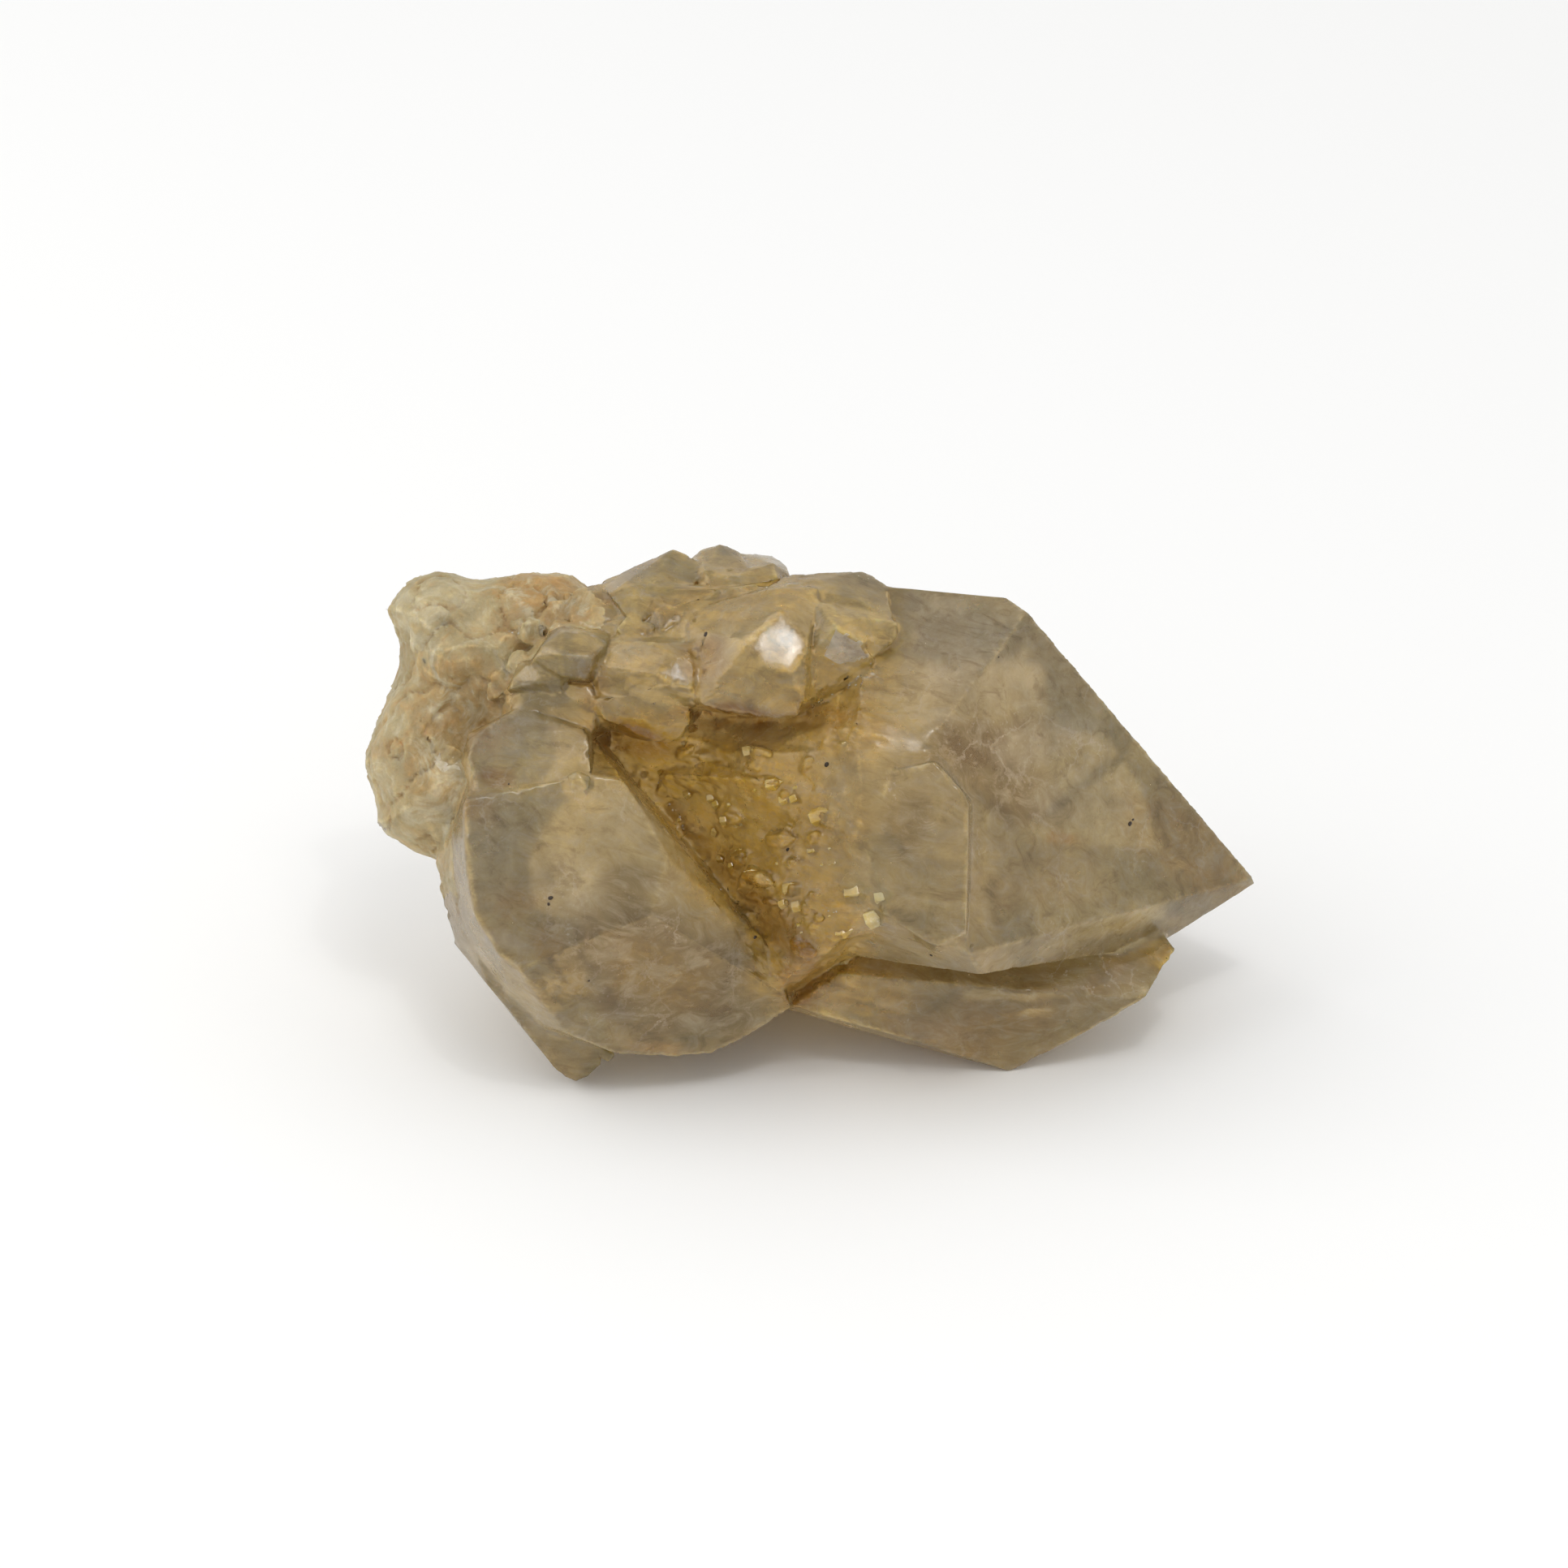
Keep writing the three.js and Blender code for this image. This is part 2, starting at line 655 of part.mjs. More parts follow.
function hollowCrystals() {
  const random = randomFrom(2117);
  const crystals = HOLLOW_CRYSTALS.map(({ at: [u, v], radius, lean }) =>
    point([u, v, hollowDepth(u, v) + 0.9 * radius], [...lean, 1], radius, 4 * radius, { roll: 40 * u }),
  );
  for (let i = 0; i < HOLLOW_SCATTER; i++) {
    const [u, v] = [-13 + 20 * random(), -15 + 22 * random()];
    const radius = 0.45 + 0.65 * random();
    const axis = [0.9 * random() - 0.1, 1.1 * random() - 0.4, 0.8];
    const tip = [u, v, hollowDepth(u, v) + 0.75 * radius];
    const shape = { roll: 60 * random(), flat: 0.7 + 0.5 * random() };
    crystals.push(point(tip, axis, radius, 3.5 * radius, shape));
  }
  return crystals;
}

// The crystal that lies in the hollow
function lyingCrystal() {
  return block(
    [
      [-14, 3.9, 9.8],
      [-9, 3.4, 13.3],
      [-4.8, 3, 16.5],
      [-3, 3.1, 15.7],
      [-3.4, 1.8, 15.3],
      [-3.8, 3.8, 15.7],
      [-10.2, 5, 11.4],
      [-15, 4.9, 7.4],
      [-5.9, 1, 13.7],
      [-9.4, 1.2, 10.9],
      [-15, 1.7, 6.4],
    ],
    at(4, [-14, 3], [-6, 3]),
  );
}

// Stubby crystals and chips on the slope, in the hollow of the base and along the foot
const CHIP_THICKNESS = 0.55; // thickness of a chip over its width
const CHIPS = [
  { at: [-27.6, 17.9, 13.6], size: 2 },
  { at: [-30.2, 16.2, 13], size: 1.8 },
  { at: [-24.4, 19.4, 11.8], size: 2.2 },
  { at: [-20.4, 18.8, 13], size: 2.4 },
  { at: [-17.2, 17, 15.2], size: 2.2 },
  { at: [-13.8, 18.6, 14.2], size: 2.3 },
  { at: [-9.8, 18.4, 15], size: 2.2 },
  { at: [-6.6, 21, 13.8], size: 1.8 },
  { at: [-35.3, 5.5, 12.2], size: 1.5 },
  { at: [-30.2, 12.6, 13.4], size: 1.9 },
  { at: [-28.6, 14.4, 14.2], size: 1.7 },
  { at: [-22.6, 3, 19.4], size: 1.4 },
  { at: [-18.6, -22.4, 8.6], size: 1.2 },
  { at: [-19.9, -23.6, 7.4], size: 1 },
];

function chips() {
  return CHIPS.map(({ at: centre, size }, i) => chunk(centre, size, i + 1, CHIP_THICKNESS));
}

// The far side: a broken core and foot that the cluster rests on, the backs of the peaks, and crystals like
// those in front

const CORE_CHUNKS = [
  { at: [-23, 4, -9.5], size: 8 },
  { at: [5, 6, -9.5], size: 8.5 },
  { at: [-3, -10, -9], size: 8.5 },
  { at: [-18, -8, -9], size: 8 },
  { at: [-22, -13.5, -2], size: 6.5 },
  { at: [15, 12, -9], size: 6 },
];

function farSide() {
  const core = block(
    at(2, [-33, 17], [-12, 20], [5, 19], [8, -8], [-4, -16], [-30, -12], [-36, 2]),
    at(-9.6, [-20, -19.6], [-6, -20], [13, -19.6], [16, -14]),
    at(-12.5, [-29, 11], [-10, 15], [6, 12], [13, -2], [-26, -8], [-32, 3]),
    at(-15.5, [9, -17.5], [-13, -18], [-18, -6], [8, -4]),
  );
  const behindPeaks = block(
    at(5, [-22, 20.6], [-16, 22.4], [-3, 22.6], [4, 20.8]),
    at(-8, [-21, 17.5], [-15, 19.6], [-2, 19.2], [3, 17]),
    at(-13, [-18, 12], [0, 12.5]),
    at(-2, [-24, 12], [6, 12]),
  );
  return [
    core,
    behindPeaks,
    point([27, 6.5, -15.5], [0.96, 0.02, -0.28], 8.8, 40, { roll: 20, flat: 0.9 }),
    point([17, -8, -15], [0.92, -0.3, -0.25], 6.6, 30, { roll: 5, lean: [0.2, 0] }),
    point([-1, 16, -19], [0.15, 0.4, -0.9], 7.6, 18, { roll: 35, lean: [0, 0.25] }),
    point([-19, 13, -18], [-0.25, 0.25, -0.93], 8.2, 18, { roll: 10, lean: [0.1, -0.2] }),
    point([-31.5, -3, -13.5], [-0.72, -0.12, -0.68], 7.2, 26, { roll: 22, flat: 1.1 }),
    point([-8, 1, -20.4], [0.08, 0.05, -1], 8.4, 20, { roll: 50, lean: [0.25, 0.1] }),
    ...CORE_CHUNKS.map(({ at: centre, size }, i) => chunk(centre, size, 41 + i)),
  ];
}

function clusterParts() {
  return [
    ...greatPoint(),
    lowerPoint(),
    leftPoint(),
    leftCap(),
    leftToe(),
    hollow(),
    ridgePoint(),
    ...ridgeNeighbour(),
    ...peaks(),
    slope(),
    ...blocks(),
    base(),
    ...hollowCrystals(),
    lyingCrystal(),
    ...chips(),
    ...farSide(),
  ];
}

const cluster = cleave(Manifold.union(clusterParts()), [floorPlane]).simplify(SMOOTHING);

function geometryOf(solid) {
  const mesh = solid.getMesh();
  const geometry = new THREE.BufferGeometry();
  geometry.setAttribute("position", new THREE.BufferAttribute(mesh.vertProperties, 3));
  geometry.setIndex(new THREE.BufferAttribute(mesh.triVerts, 1));
  return geometry;
}

const citrine = new THREE.MeshStandardMaterial({ color: "#a08c66", roughness: 0.25, metalness: 0 });
const clusterMesh = new THREE.Mesh(geometryOf(cluster), citrine);
clusterMesh.name = "citrine_cluster";

// The standing cluster, with its origin under the middle of its box
const upright = new THREE.Group();
upright.rotation.x = radians(90 - VIEW_ELEVATION);
upright.position.z = -FLOOR;
upright.add(clusterMesh);
const middle = new THREE.Box3().setFromObject(upright, true).getCenter(new THREE.Vector3());
upright.position.x = -middle.x;
upright.position.y = -middle.y;

const part = new THREE.Group();
part.add(upright);

export default part;
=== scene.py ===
"""The looks of a natural citrine: a cluster of intergrown quartz points, cloudy and honey-coloured,
with a golden hollow of fine crystals and a broken milky base."""
import math
import random

import bmesh
import bpy
import numpy as np
from mathutils import Matrix, Vector, noise
from mathutils.bvhtree import BVHTree


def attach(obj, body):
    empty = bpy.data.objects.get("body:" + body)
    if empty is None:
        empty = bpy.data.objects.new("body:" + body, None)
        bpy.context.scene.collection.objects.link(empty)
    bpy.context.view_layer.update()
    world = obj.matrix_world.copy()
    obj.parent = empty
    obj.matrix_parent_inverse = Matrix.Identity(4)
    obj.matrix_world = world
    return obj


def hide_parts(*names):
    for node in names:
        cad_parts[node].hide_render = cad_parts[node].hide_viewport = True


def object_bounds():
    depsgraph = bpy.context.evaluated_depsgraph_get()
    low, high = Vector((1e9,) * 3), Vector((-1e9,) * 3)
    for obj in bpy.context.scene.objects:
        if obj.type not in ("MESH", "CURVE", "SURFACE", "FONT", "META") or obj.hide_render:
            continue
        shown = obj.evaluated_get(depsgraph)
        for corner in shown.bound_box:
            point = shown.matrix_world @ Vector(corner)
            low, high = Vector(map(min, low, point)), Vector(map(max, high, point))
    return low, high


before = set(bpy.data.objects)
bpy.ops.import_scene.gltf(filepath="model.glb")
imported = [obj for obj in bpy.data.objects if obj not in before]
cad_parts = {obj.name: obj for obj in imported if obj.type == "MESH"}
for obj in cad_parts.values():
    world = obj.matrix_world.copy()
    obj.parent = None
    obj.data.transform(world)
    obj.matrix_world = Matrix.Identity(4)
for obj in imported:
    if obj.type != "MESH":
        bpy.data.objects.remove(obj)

bl_info = {
    "name": "Natural citrine cluster",
    "version": (1, 0, 0),
    "blender": (4, 5, 0),
    "location": "View3D > Sidebar > Citrine",
    "description": "Dresses the solid of a natural citrine cluster as cloudy, honey-coloured quartz",
    "category": "Object",
}

MM = 0.001
SOLID = "citrine_cluster"
CAD_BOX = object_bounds()

# The viewer's own frame: u to the right, v up and w towards the viewer, in millimetres from HEART.
VIEW_ELEVATION = math.radians(30)
HEART = Vector((-0.12, 0.72, 21.0)) * MM
RIGHT = Vector((1, 0, 0))
UP = Vector((0, math.sin(VIEW_ELEVATION), math.cos(VIEW_ELEVATION)))
NEAR = Vector((0, -math.cos(VIEW_ELEVATION), math.sin(VIEW_ELEVATION)))

# What the camera takes in
FRAME_WIDTH = 154.6
FRAME_CENTRE = (-2.56, 2.8)
SENSOR = 36.0

# Where the quartz differs in colour, and where light and shade are painted on it, as the viewer sees it. Each
# zone has its middle, half widths, turn in degrees and strength. The first zones are the golden hollow and
# other golden places.
HONEY = [
    ((-13, 5), (9.5, 4.5), -20, 1.0),
    ((-4.5, -2), (8.5, 9.5), 0, 1.0),
    ((-0.5, -12), (6.5, 7.5), 0, 1.0),
    ((2.5, 9), (5.5, 4.5), 0, 0.8),
    ((3, 13.5), (4.5, 3), 0, 0.6),
    ((-10, 11), (5, 3), 0, 0.35),
    ((-7, 20.5), (9, 2.4), 15, 0.4),
    ((-16, 14), (4, 2.5), 0, 0.35),
    ((35, -14.6), (2.2, 2.2), 0, 0.8),
    ((-24.5, -17), (2.5, 2), 0, 0.35),
    ((5, -17.5), (6.5, 2.5), -10, 0.6),
    ((-10.2, -4.6), (11, 1.2), -50, 1.0),
    ((-11.5, 15), (2.4, 1.6), 0, 0.45),
    ((-15, -15.5), (6, 3.5), -25, 0.3),
    ((-0.5, 12), (6, 2), 10, 0.35),
]
# Where light gathers in small crystals, so that they are paler and yellower than the large ones
GLOW = [
    ((-13.5, 22.5), (8, 5), 20, 0.85),
    ((-2, 22.5), (6, 3), -10, 0.7),
    ((-3, 13.5), (5, 4.5), 0, 0.9),
    ((4.5, 17), (5, 4.5), 0, 1.0),
    ((-17.5, 11.8), (7, 4), -15, 0.7),
    ((-22, 15.5), (4, 3), 0, 0.5),
    ((-27.5, 4.2), (6, 3), 0, 0.5),
    ((8.5, 11), (4, 5), 0, 0.35),
    ((-23, -1), (3, 3), 0, 0.3),
    ((1, -18), (6, 2), -12, 0.4),
]
# The massive quartz of the broken base
CREAM = [
    ((-35, 8), (11, 17), 6, 1.0),
    ((-27, 20), (7, 5), 0, 1.0),
    ((-31, 14.5), (7, 5), 0, 0.9),
]
# Iron stain
RUST = [
    ((-33.4, 9.4), (4.6, 4.4), -25, 0.4),
    ((-26.6, 21.9), (4.2, 2.2), 0, 0.6),
    ((-22.5, 20.5), (4, 1.6), 30, 0.4),
    ((-36.6, 12.6), (5, 1), 30, 0.3),
    ((-37.8, 3.5), (2, 4), 8, 0.3),
    ((-20.6, 12.6), (1.2, 3), 0, 0.5),
    ((-12.5, 20.6), (6, 1.2), 32, 0.3),
    ((-11, 14.8), (2.5, 1.6), 0, 0.35),
    ((24.6, -2.7), (1, 0.8), 0, 0.6),
    ((-28.5, -8.5), (2.5, 1.8), 0, 0.25),
    ((-25.5, -13), (2, 1.4), 0, 0.3),
    ((-34, 1.5), (4, 2), -30, 0.3),
    ((37, -3.5), (8, 4), -40, 0.3),
    ((18, -21), (9, 3), 15, 0.25),
]
# Clear places, which look darker, and painted shade on the lower faces of the points and under the great
# point's overhang
SMOKE_AND_SHADE = [
    ((17, 6.4), (5.5, 3), -12, 0.95),
    ((21, 1.5), (5.5, 2.2), -14, 0.75),
    ((9, -1.5), (2.6, 3), 0, 0.45),
    ((25, -16), (9, 1.6), 10, 0.45),
    ((20, -19), (14, 4), 8, 0.35),
    ((-35.3, -9), (1.8, 8), 12, 0.5),
    ((-10.2, 15), (3, 1.8), 0, 0.75),
    ((-17.5, -6.8), (4, 1.8), 15, 0.55),
    ((-14, -15.5), (11, 6), -25, 0.9),
    ((-24.5, 10.5), (4, 2.4), 0, 0.4),
    ((-5, -20.5), (3, 1.4), 0, 0.3),
    ((24, 10), (3, 10), -35, 0.2),
]
# White clouds, and painted light on the left side of the left point
MILK_AND_LIGHT = [
    ((23.5, 7.5), (5.5, 2.2), 15, 0.6),
    ((27, 1), (6, 3.5), -20, 0.3),
    ((8.5, 7.5), (2, 1.8), 0, 0.6),
    ((15, 15.5), (12, 5), -15, 0.55),
    ((-31, -2), (2.6, 9), 0, 0.4),
    ((-41.5, 4), (2.2, 9), -8, 0.4),
    ((-23.5, -8), (3.5, 4.5), 0, 0.4),
    ((-36, 20.5), (4.5, 3), 0, 0.5),
    ((33, -11.5), (8, 1.4), 15, 0.5),
    ((-22.5, -0.5), (5, 3), 0, 0.3),
    ((12, -21), (5, 1.5), -15, 0.3),
    ((6, -18.5), (5, 1.5), -12, 0.3),
]
# Painted shade in the deepest places of the hollow and of the gaps between crystals
DEEP_SHADE = [
    ((-17.4, 7), (4.5, 1.5), -12, 1.0),
    ((-7.8, 9.4), (5.5, 1), -3, 0.9),
    ((1.6, 9.3), (3.4, 1.4), 10, 0.6),
    ((-12.4, -0.8), (6, 1), -50, 0.5),
    ((-8, -5.2), (2.2, 1.6), -20, 0.6),
    ((-2.8, -11.4), (7, 1.4), -51, 0.85),
    ((-1.2, -17), (2.2, 2.6), 0, 0.7),
    ((-30.8, 3.6), (1.6, 1), 0, 0.8),
    ((-22, 12.6), (1, 3), 20, 0.4),
]
# Faces that are paler than the rest of their crystal: frosted or freshly broken faces, and faces with a
# painted glint where they catch the light. Strength, and the corners of an outline round them, as the viewer
# sees it
FROSTED_AND_GLINTING_FACES = [
    (0.22, [(-3, 19.6), (-1, 17.9), (-0.2, 16.7), (-0.2, 15.7), (-1.8, 13.6), (-4.4, 14.3), (-6.3, 16.6)]),
    (0.22, [(9, 22.5), (21.5, 22.5), (21.5, 18), (12.5, 7), (9, 10)]),
    (0.5, [(-14.9, 13.4), (-13, 15.2), (-11.7, 15.5), (-11.3, 13.8), (-11.5, 12.2), (-13.3, 12.5)]),
    (1.0, [(2.6, 18.2), (5.2, 16.7), (6.1, 15.2), (3, 14.6), (0, 15.8)]),
    (0.6, [(-20.8, 21.6), (-16.2, 25.2), (-13.6, 26.2), (-14.2, 25), (-16.5, 23.2), (-19.6, 21.6)]),
    (0.6, [(-25.2, 14.6), (-25.2, 18.6), (-21.4, 18.6), (-19.2, 17.4), (-20, 14.6)]),
    (0.8, [(-36.8, 5.2), (-35.4, 6.9), (-33.8, 5.4), (-34.4, 4.1), (-36.4, 4.2)]),
]

# Where the crystals are cracked inside
CRACKED = [
    ((28.2, -15.8), (4.6, 2.6), -20, 1.0),
    ((18, 6.5), (8, 4), -20, 0.6),
    ((25.5, 6.5), (4, 2.6), 0, 0.7),
    ((7.8, 2.3), (1.4, 1.4), 0, 1.0),
    ((-23.7, -9.9), (1, 3.6), 10, 1.0),
    ((-14, -11), (3, 1), -20, 0.6),
    ((10, -19.6), (1.5, 2), 0, 0.9),
    ((29.4, 3.6), (1.6, 3.4), 40, 0.6),
    ((33, -10.6), (7, 1.6), 15, 0.5),
    ((-20, -16.5), (6, 3), -30, 0.4),
    ((-28, -1), (6, 4), 0, 0.3),
]
# Where the hollow passes into the great point with no edge between them
MERGING = [((5, 0), (3.4, 13), 0, 1.0), ((5.5, 8), (4.5, 3.5), 0, 1.0), ((8.5, 7.5), (4.5, 1.8), -6, 1.0)]
# Where edges stay crisp: along the growth step
CRISP = [((14.8, -3.5), (2.2, 9.5), 0, 1.0)]
# Faces of fine crystals that catch the light in the hollow: where, and radius of the crystal in millimetres
FACETS = [
    ((1.1, -0.1), 0.9),
    ((-6.6, -3.7), 0.5),
    ((-5.4, -5.7), 0.7),
    ((-1.5, -7), 0.8),
    ((-2.5, -8.6), 0.5),
    ((-1, -8.9), 0.6),
    ((5, -7.3), 1.2),
    ((7.4, -8), 0.8),
    ((6.6, -9.9), 1.0),
    ((-3.3, 3), 0.7),
    ((-9, 1), 0.5),
    ((-8.2, -0.6), 0.5),
    ((-2.2, 1.5), 0.6),
    ((0.5, -3.4), 0.6),
    ((2.6, -4.6), 0.6),
    ((3.4, -11.5), 0.7),
]
# Where crystals as fine as sugar sparkle: middle, half widths, turn in degrees, and how many
SPARKLES = [
    ((-2.9, 16.8), (1.3, 1.2), 0, 90),
    ((5.1, 23.2), (1, 0.4), 0, 10),
    ((5.5, 13.8), (1.2, 0.3), 45, 8),
    ((2.6, 11.6), (2.2, 0.3), 32, 12),
    ((3.3, 14.7), (1.6, 0.15), 5, 8),
    ((-13, 23.6), (0.5, 1), 0, 8),
    ((2.6, -9.6), (2.2, 0.6), 0, 12),
    ((-13.2, 0.2), (4, 0.2), -62, 10),
    ((-8.4, -8.4), (5, 0.2), -57, 12),
    ((-28.6, 18.3), (1.4, 1), 0, 8),
    ((-19, 4.6), (1.2, 0.3), -20, 4),
]
# Smallest and largest radius of a sparkling crystal in millimetres, and how strongly a white glint is painted
# on it
SPARKLE_RADII = (0.07, 0.16)
SPARKLE_GLINT = 0.8
# Where fine crystals are scattered, as the viewer sees it, from left to right and from bottom to top
DRUSE_ACROSS = (-19, 8)
DRUSE_UP = (-17, 10)
# How far the fine crystals lean out of line, in degrees
STRAY = {"facet": 7, "druse": 5, "wild druse": 35, "sparkle": 9}

# Dark mineral grains on the faces: where, and radius in millimetres
GRAINS = [
    ((1.6, 4.7), 0.24),
    ((31.4, -1.1), 0.22),
    ((-10.2, 17.4), 0.22),
    ((-25.3, -8.3), 0.22),
    ((-25.5, -8.9), 0.15),
    ((-2.2, -3.6), 0.17),
    ((-5.4, -12.2), 0.17),
    ((11.8, -13.9), 0.16),
    ((31.7, -0.7), 0.12),
    ((-29.4, 2.8), 0.1),
    ((-21.6, -16.4), 0.1),
    ((18.4, 15.2), 0.1),
]

# A zone is full up to this share of its half widths, and fades out over the next one
ZONE_CORE = 0.55
ZONE_FADE = 0.8
# The base ends, and the hollow begins, between these distances towards the viewer
BASE_ENDS = (14.6, 16.4)
HOLLOW_BEGINS = (1, 4)
# The way that the hollow's ribs and fibres run, as the viewer sees it
ALONG_U, ALONG_V = 0.966, -0.259
# The middle of the fan of fibres on the base, as the viewer sees it
FAN_U, FAN_V = -32.6, 8.4

# Points closer than this are one, and faces flatter than this too
WELD = 0.01 * MM
FLAT = math.radians(0.4)
# Rounds of halving that bring the longest edges of the solid down to the mesh lengths
DIVISIONS = 9
# A vertex on an edge counts as fully bent when it stands this far out from its neighbours
FULL_BEND = 0.1 * MM
# Bends beyond this share make a seam or an outer edge
SEAM_BEND = 0.15
# A seam takes in this many rings of neighbours, up to this far away each
SEAM_RINGS = 3
RING_REACH = 0.8 * MM
# Rounds of smoothing on outer edges, in seams, and where the hollow passes into the great point
EDGE_ROUNDS = 1
SEAM_ROUNDS = 10
MERGING_ROUNDS = 80
# A crystal face takes in the mesh's faces that look within this angle of its usual way
SAME_FACE = math.radians(10)

# Half the width of the floor, in metres
FLOOR = 1.5


def linear(text):
    """A colour written as sRGB hex, as the renderer wants it."""
    parts = [int(text[i : i + 2], 16) / 255 for i in (1, 3, 5)]
    return tuple(c / 12.92 if c <= 0.04045 else ((c + 0.055) / 1.055) ** 2.4 for c in parts)


def placed(u, v, w):
    """A point of the viewer's frame, in the row frame."""
    return HEART + (RIGHT * u + UP * v + NEAR * w) * MM


def direction(u, v, w):
    """A direction of the viewer's frame, in the row frame."""
    return (RIGHT * u + UP * v + NEAR * w).normalized()


# The way that the fibres of the hollow and the veils in the crystals run
GRAIN = direction(ALONG_U, ALONG_V, 0.1).to_track_quat("X", "Z").to_euler()
# The way that the glinting face looks, which carries a painted glint. The fine crystals grew in line with it,
# so that many of their faces look that way.
GLINT_UVW = (0.06, 0.28, 1)


class CitrineColours(bpy.types.PropertyGroup):
    """Colours of the quartz"""

    body: bpy.props.FloatVectorProperty(
        name="Body",
        description="Cloudy quartz of the large crystals",
        subtype="COLOR",
        default=linear("#c8b781"),
        min=0,
        max=1,
    )
    honey: bpy.props.FloatVectorProperty(
        name="Honey",
        description="Golden quartz in the hollow",
        subtype="COLOR",
        default=linear("#d0a838"),
        min=0,
        max=1,
    )
    cream: bpy.props.FloatVectorProperty(
        name="Cream",
        description="Massive quartz of the broken base",
        subtype="COLOR",
        default=linear("#bfac7e"),
        min=0,
        max=1,
    )
    # Pale gold also serves as painted light that lifts the shade in the seams
    glow: bpy.props.FloatVectorProperty(
        name="Pale gold",
        description="Small crystals in which light gathers",
        subtype="COLOR",
        default=linear("#e6cd80"),
        min=0,
        max=1,
    )
    # Umber also serves as painted shade in the deepest places of the hollow and between crystals
    umber_and_shade: bpy.props.FloatVectorProperty(
        name="Umber",
        description="Brown-gold quartz in the deepest places of the hollow",
        subtype="COLOR",
        default=linear("#9c6806"),
        min=0,
        max=1,
    )
    rust: bpy.props.FloatVectorProperty(
        name="Rust",
        description="Iron stain on the base and in the seams",
        subtype="COLOR",
        default=linear("#c08f45"),
        min=0,
        max=1,
    )
    # Smoke also serves as painted shade on the lower faces of the points and under the great point's overhang
    smoke_and_shade: bpy.props.FloatVectorProperty(
        name="Smoke",
        description="Clear, darker places in the large crystals",
        subtype="COLOR",
        default=linear("#7f6b43"),
        min=0,
        max=1,
    )
    # Milk also serves as painted light on the left side of the left point
    milk_and_light: bpy.props.FloatVectorProperty(
        name="Milk",
        description="White clouds of fine bubbles",
        subtype="COLOR",
        default=linear("#d6cbaa"),
        min=0,
        max=1,
    )
    # Frost also serves as painted glints on faces and fine crystals that catch the light
    frost_and_glint: bpy.props.FloatVectorProperty(
        name="Frost",
        description="Frosted and freshly broken faces",
        subtype="COLOR",
        default=linear("#e9dfc8"),
        min=0,
        max=1,
    )
    depth: bpy.props.FloatVectorProperty(
        name="Depth",
        description="Colour that light takes on its way through the crystal",
        subtype="COLOR",
        default=linear("#cfa03e"),
        min=0,
        max=1,
    )


class CitrineSizes(bpy.types.PropertyGroup):
    """Sizes of the surface detail"""

    grain: bpy.props.FloatProperty(
        name="Mesh length",
        description="Longest edge of the finished mesh on flat faces",
        default=1.3 * MM,
        min=0.2 * MM,
        unit="LENGTH",
    )
    rugged_grain: bpy.props.FloatProperty(
        name="Mesh length on broken quartz",
        description="Longest edge of the finished mesh on the base and in the hollow",
        default=0.7 * MM,
        min=0.2 * MM,
        unit="LENGTH",
    )
    edge_grain: bpy.props.FloatProperty(
        name="Mesh length at edges",
        description="Longest edge of the finished mesh along crystal edges",
        default=0.39 * MM,
        min=0.1 * MM,
        unit="LENGTH",
    )
    sharp: bpy.props.FloatProperty(
        name="Edge angle",
        description="Faces that meet at more than this angle have a rounded edge between them",
        default=math.radians(6.5),
        subtype="ANGLE",
    )
    druse: bpy.props.FloatProperty(
        name="Fine crystal",
        description="Radius of the largest fine crystals in the hollow",
        default=0.6 * MM,
        min=0.1 * MM,
        unit="LENGTH",
    )
    druse_count: bpy.props.IntProperty(
        name="Fine crystals",
        description="How many fine crystals are scattered over the hollow",
        default=44,
        min=0,
    )


class CitrineStage(bpy.types.PropertyGroup):
    """Camera and light"""

    lens: bpy.props.FloatProperty(
        name="Lens",
        description="Focal length of the camera, in millimetres",
        default=400,
        min=50,
    )
    key: bpy.props.FloatProperty(
        name="Main light",
        description="Power of the large light at the upper left",
        default=0.95,
        min=0,
        unit="POWER",
    )
    front: bpy.props.FloatProperty(
        name="Front light",
        description="Power of the light over the camera, which the frosted face mirrors",
        default=0.7,
        min=0,
        unit="POWER",
    )
    sparkle: bpy.props.FloatProperty(
        name="Sparkle light",
        description="Power of the small lamp that the finest crystals mirror",
        default=0.2,
        min=0,
        unit="POWER",
    )
    sky: bpy.props.FloatProperty(
        name="Room light",
        description="Strength of the even light from all round",
        default=0.76,
        min=0,
    )


class CitrineSettings(bpy.types.PropertyGroup):
    """All settings of the cluster"""

    colours: bpy.props.PointerProperty(type=CitrineColours)
    sizes: bpy.props.PointerProperty(type=CitrineSizes)
    stage: bpy.props.PointerProperty(type=CitrineStage)


def add_node(tree, kind, sockets=None, **settings):
    """Adds a node with its settings, and sets or links its sockets."""
    made = tree.nodes.new(kind)
    for name, value in settings.items():
        setattr(made, name, value)
    for socket, value in (sockets or {}).items():
        if isinstance(value, bpy.types.NodeSocket):
            tree.links.new(value, made.inputs[socket])
        else:
            made.inputs[socket].default_value = value
    return made


def per(size):
    """The scale of a pattern whose features are this many millimetres across."""
    return 1 / (size * MM)


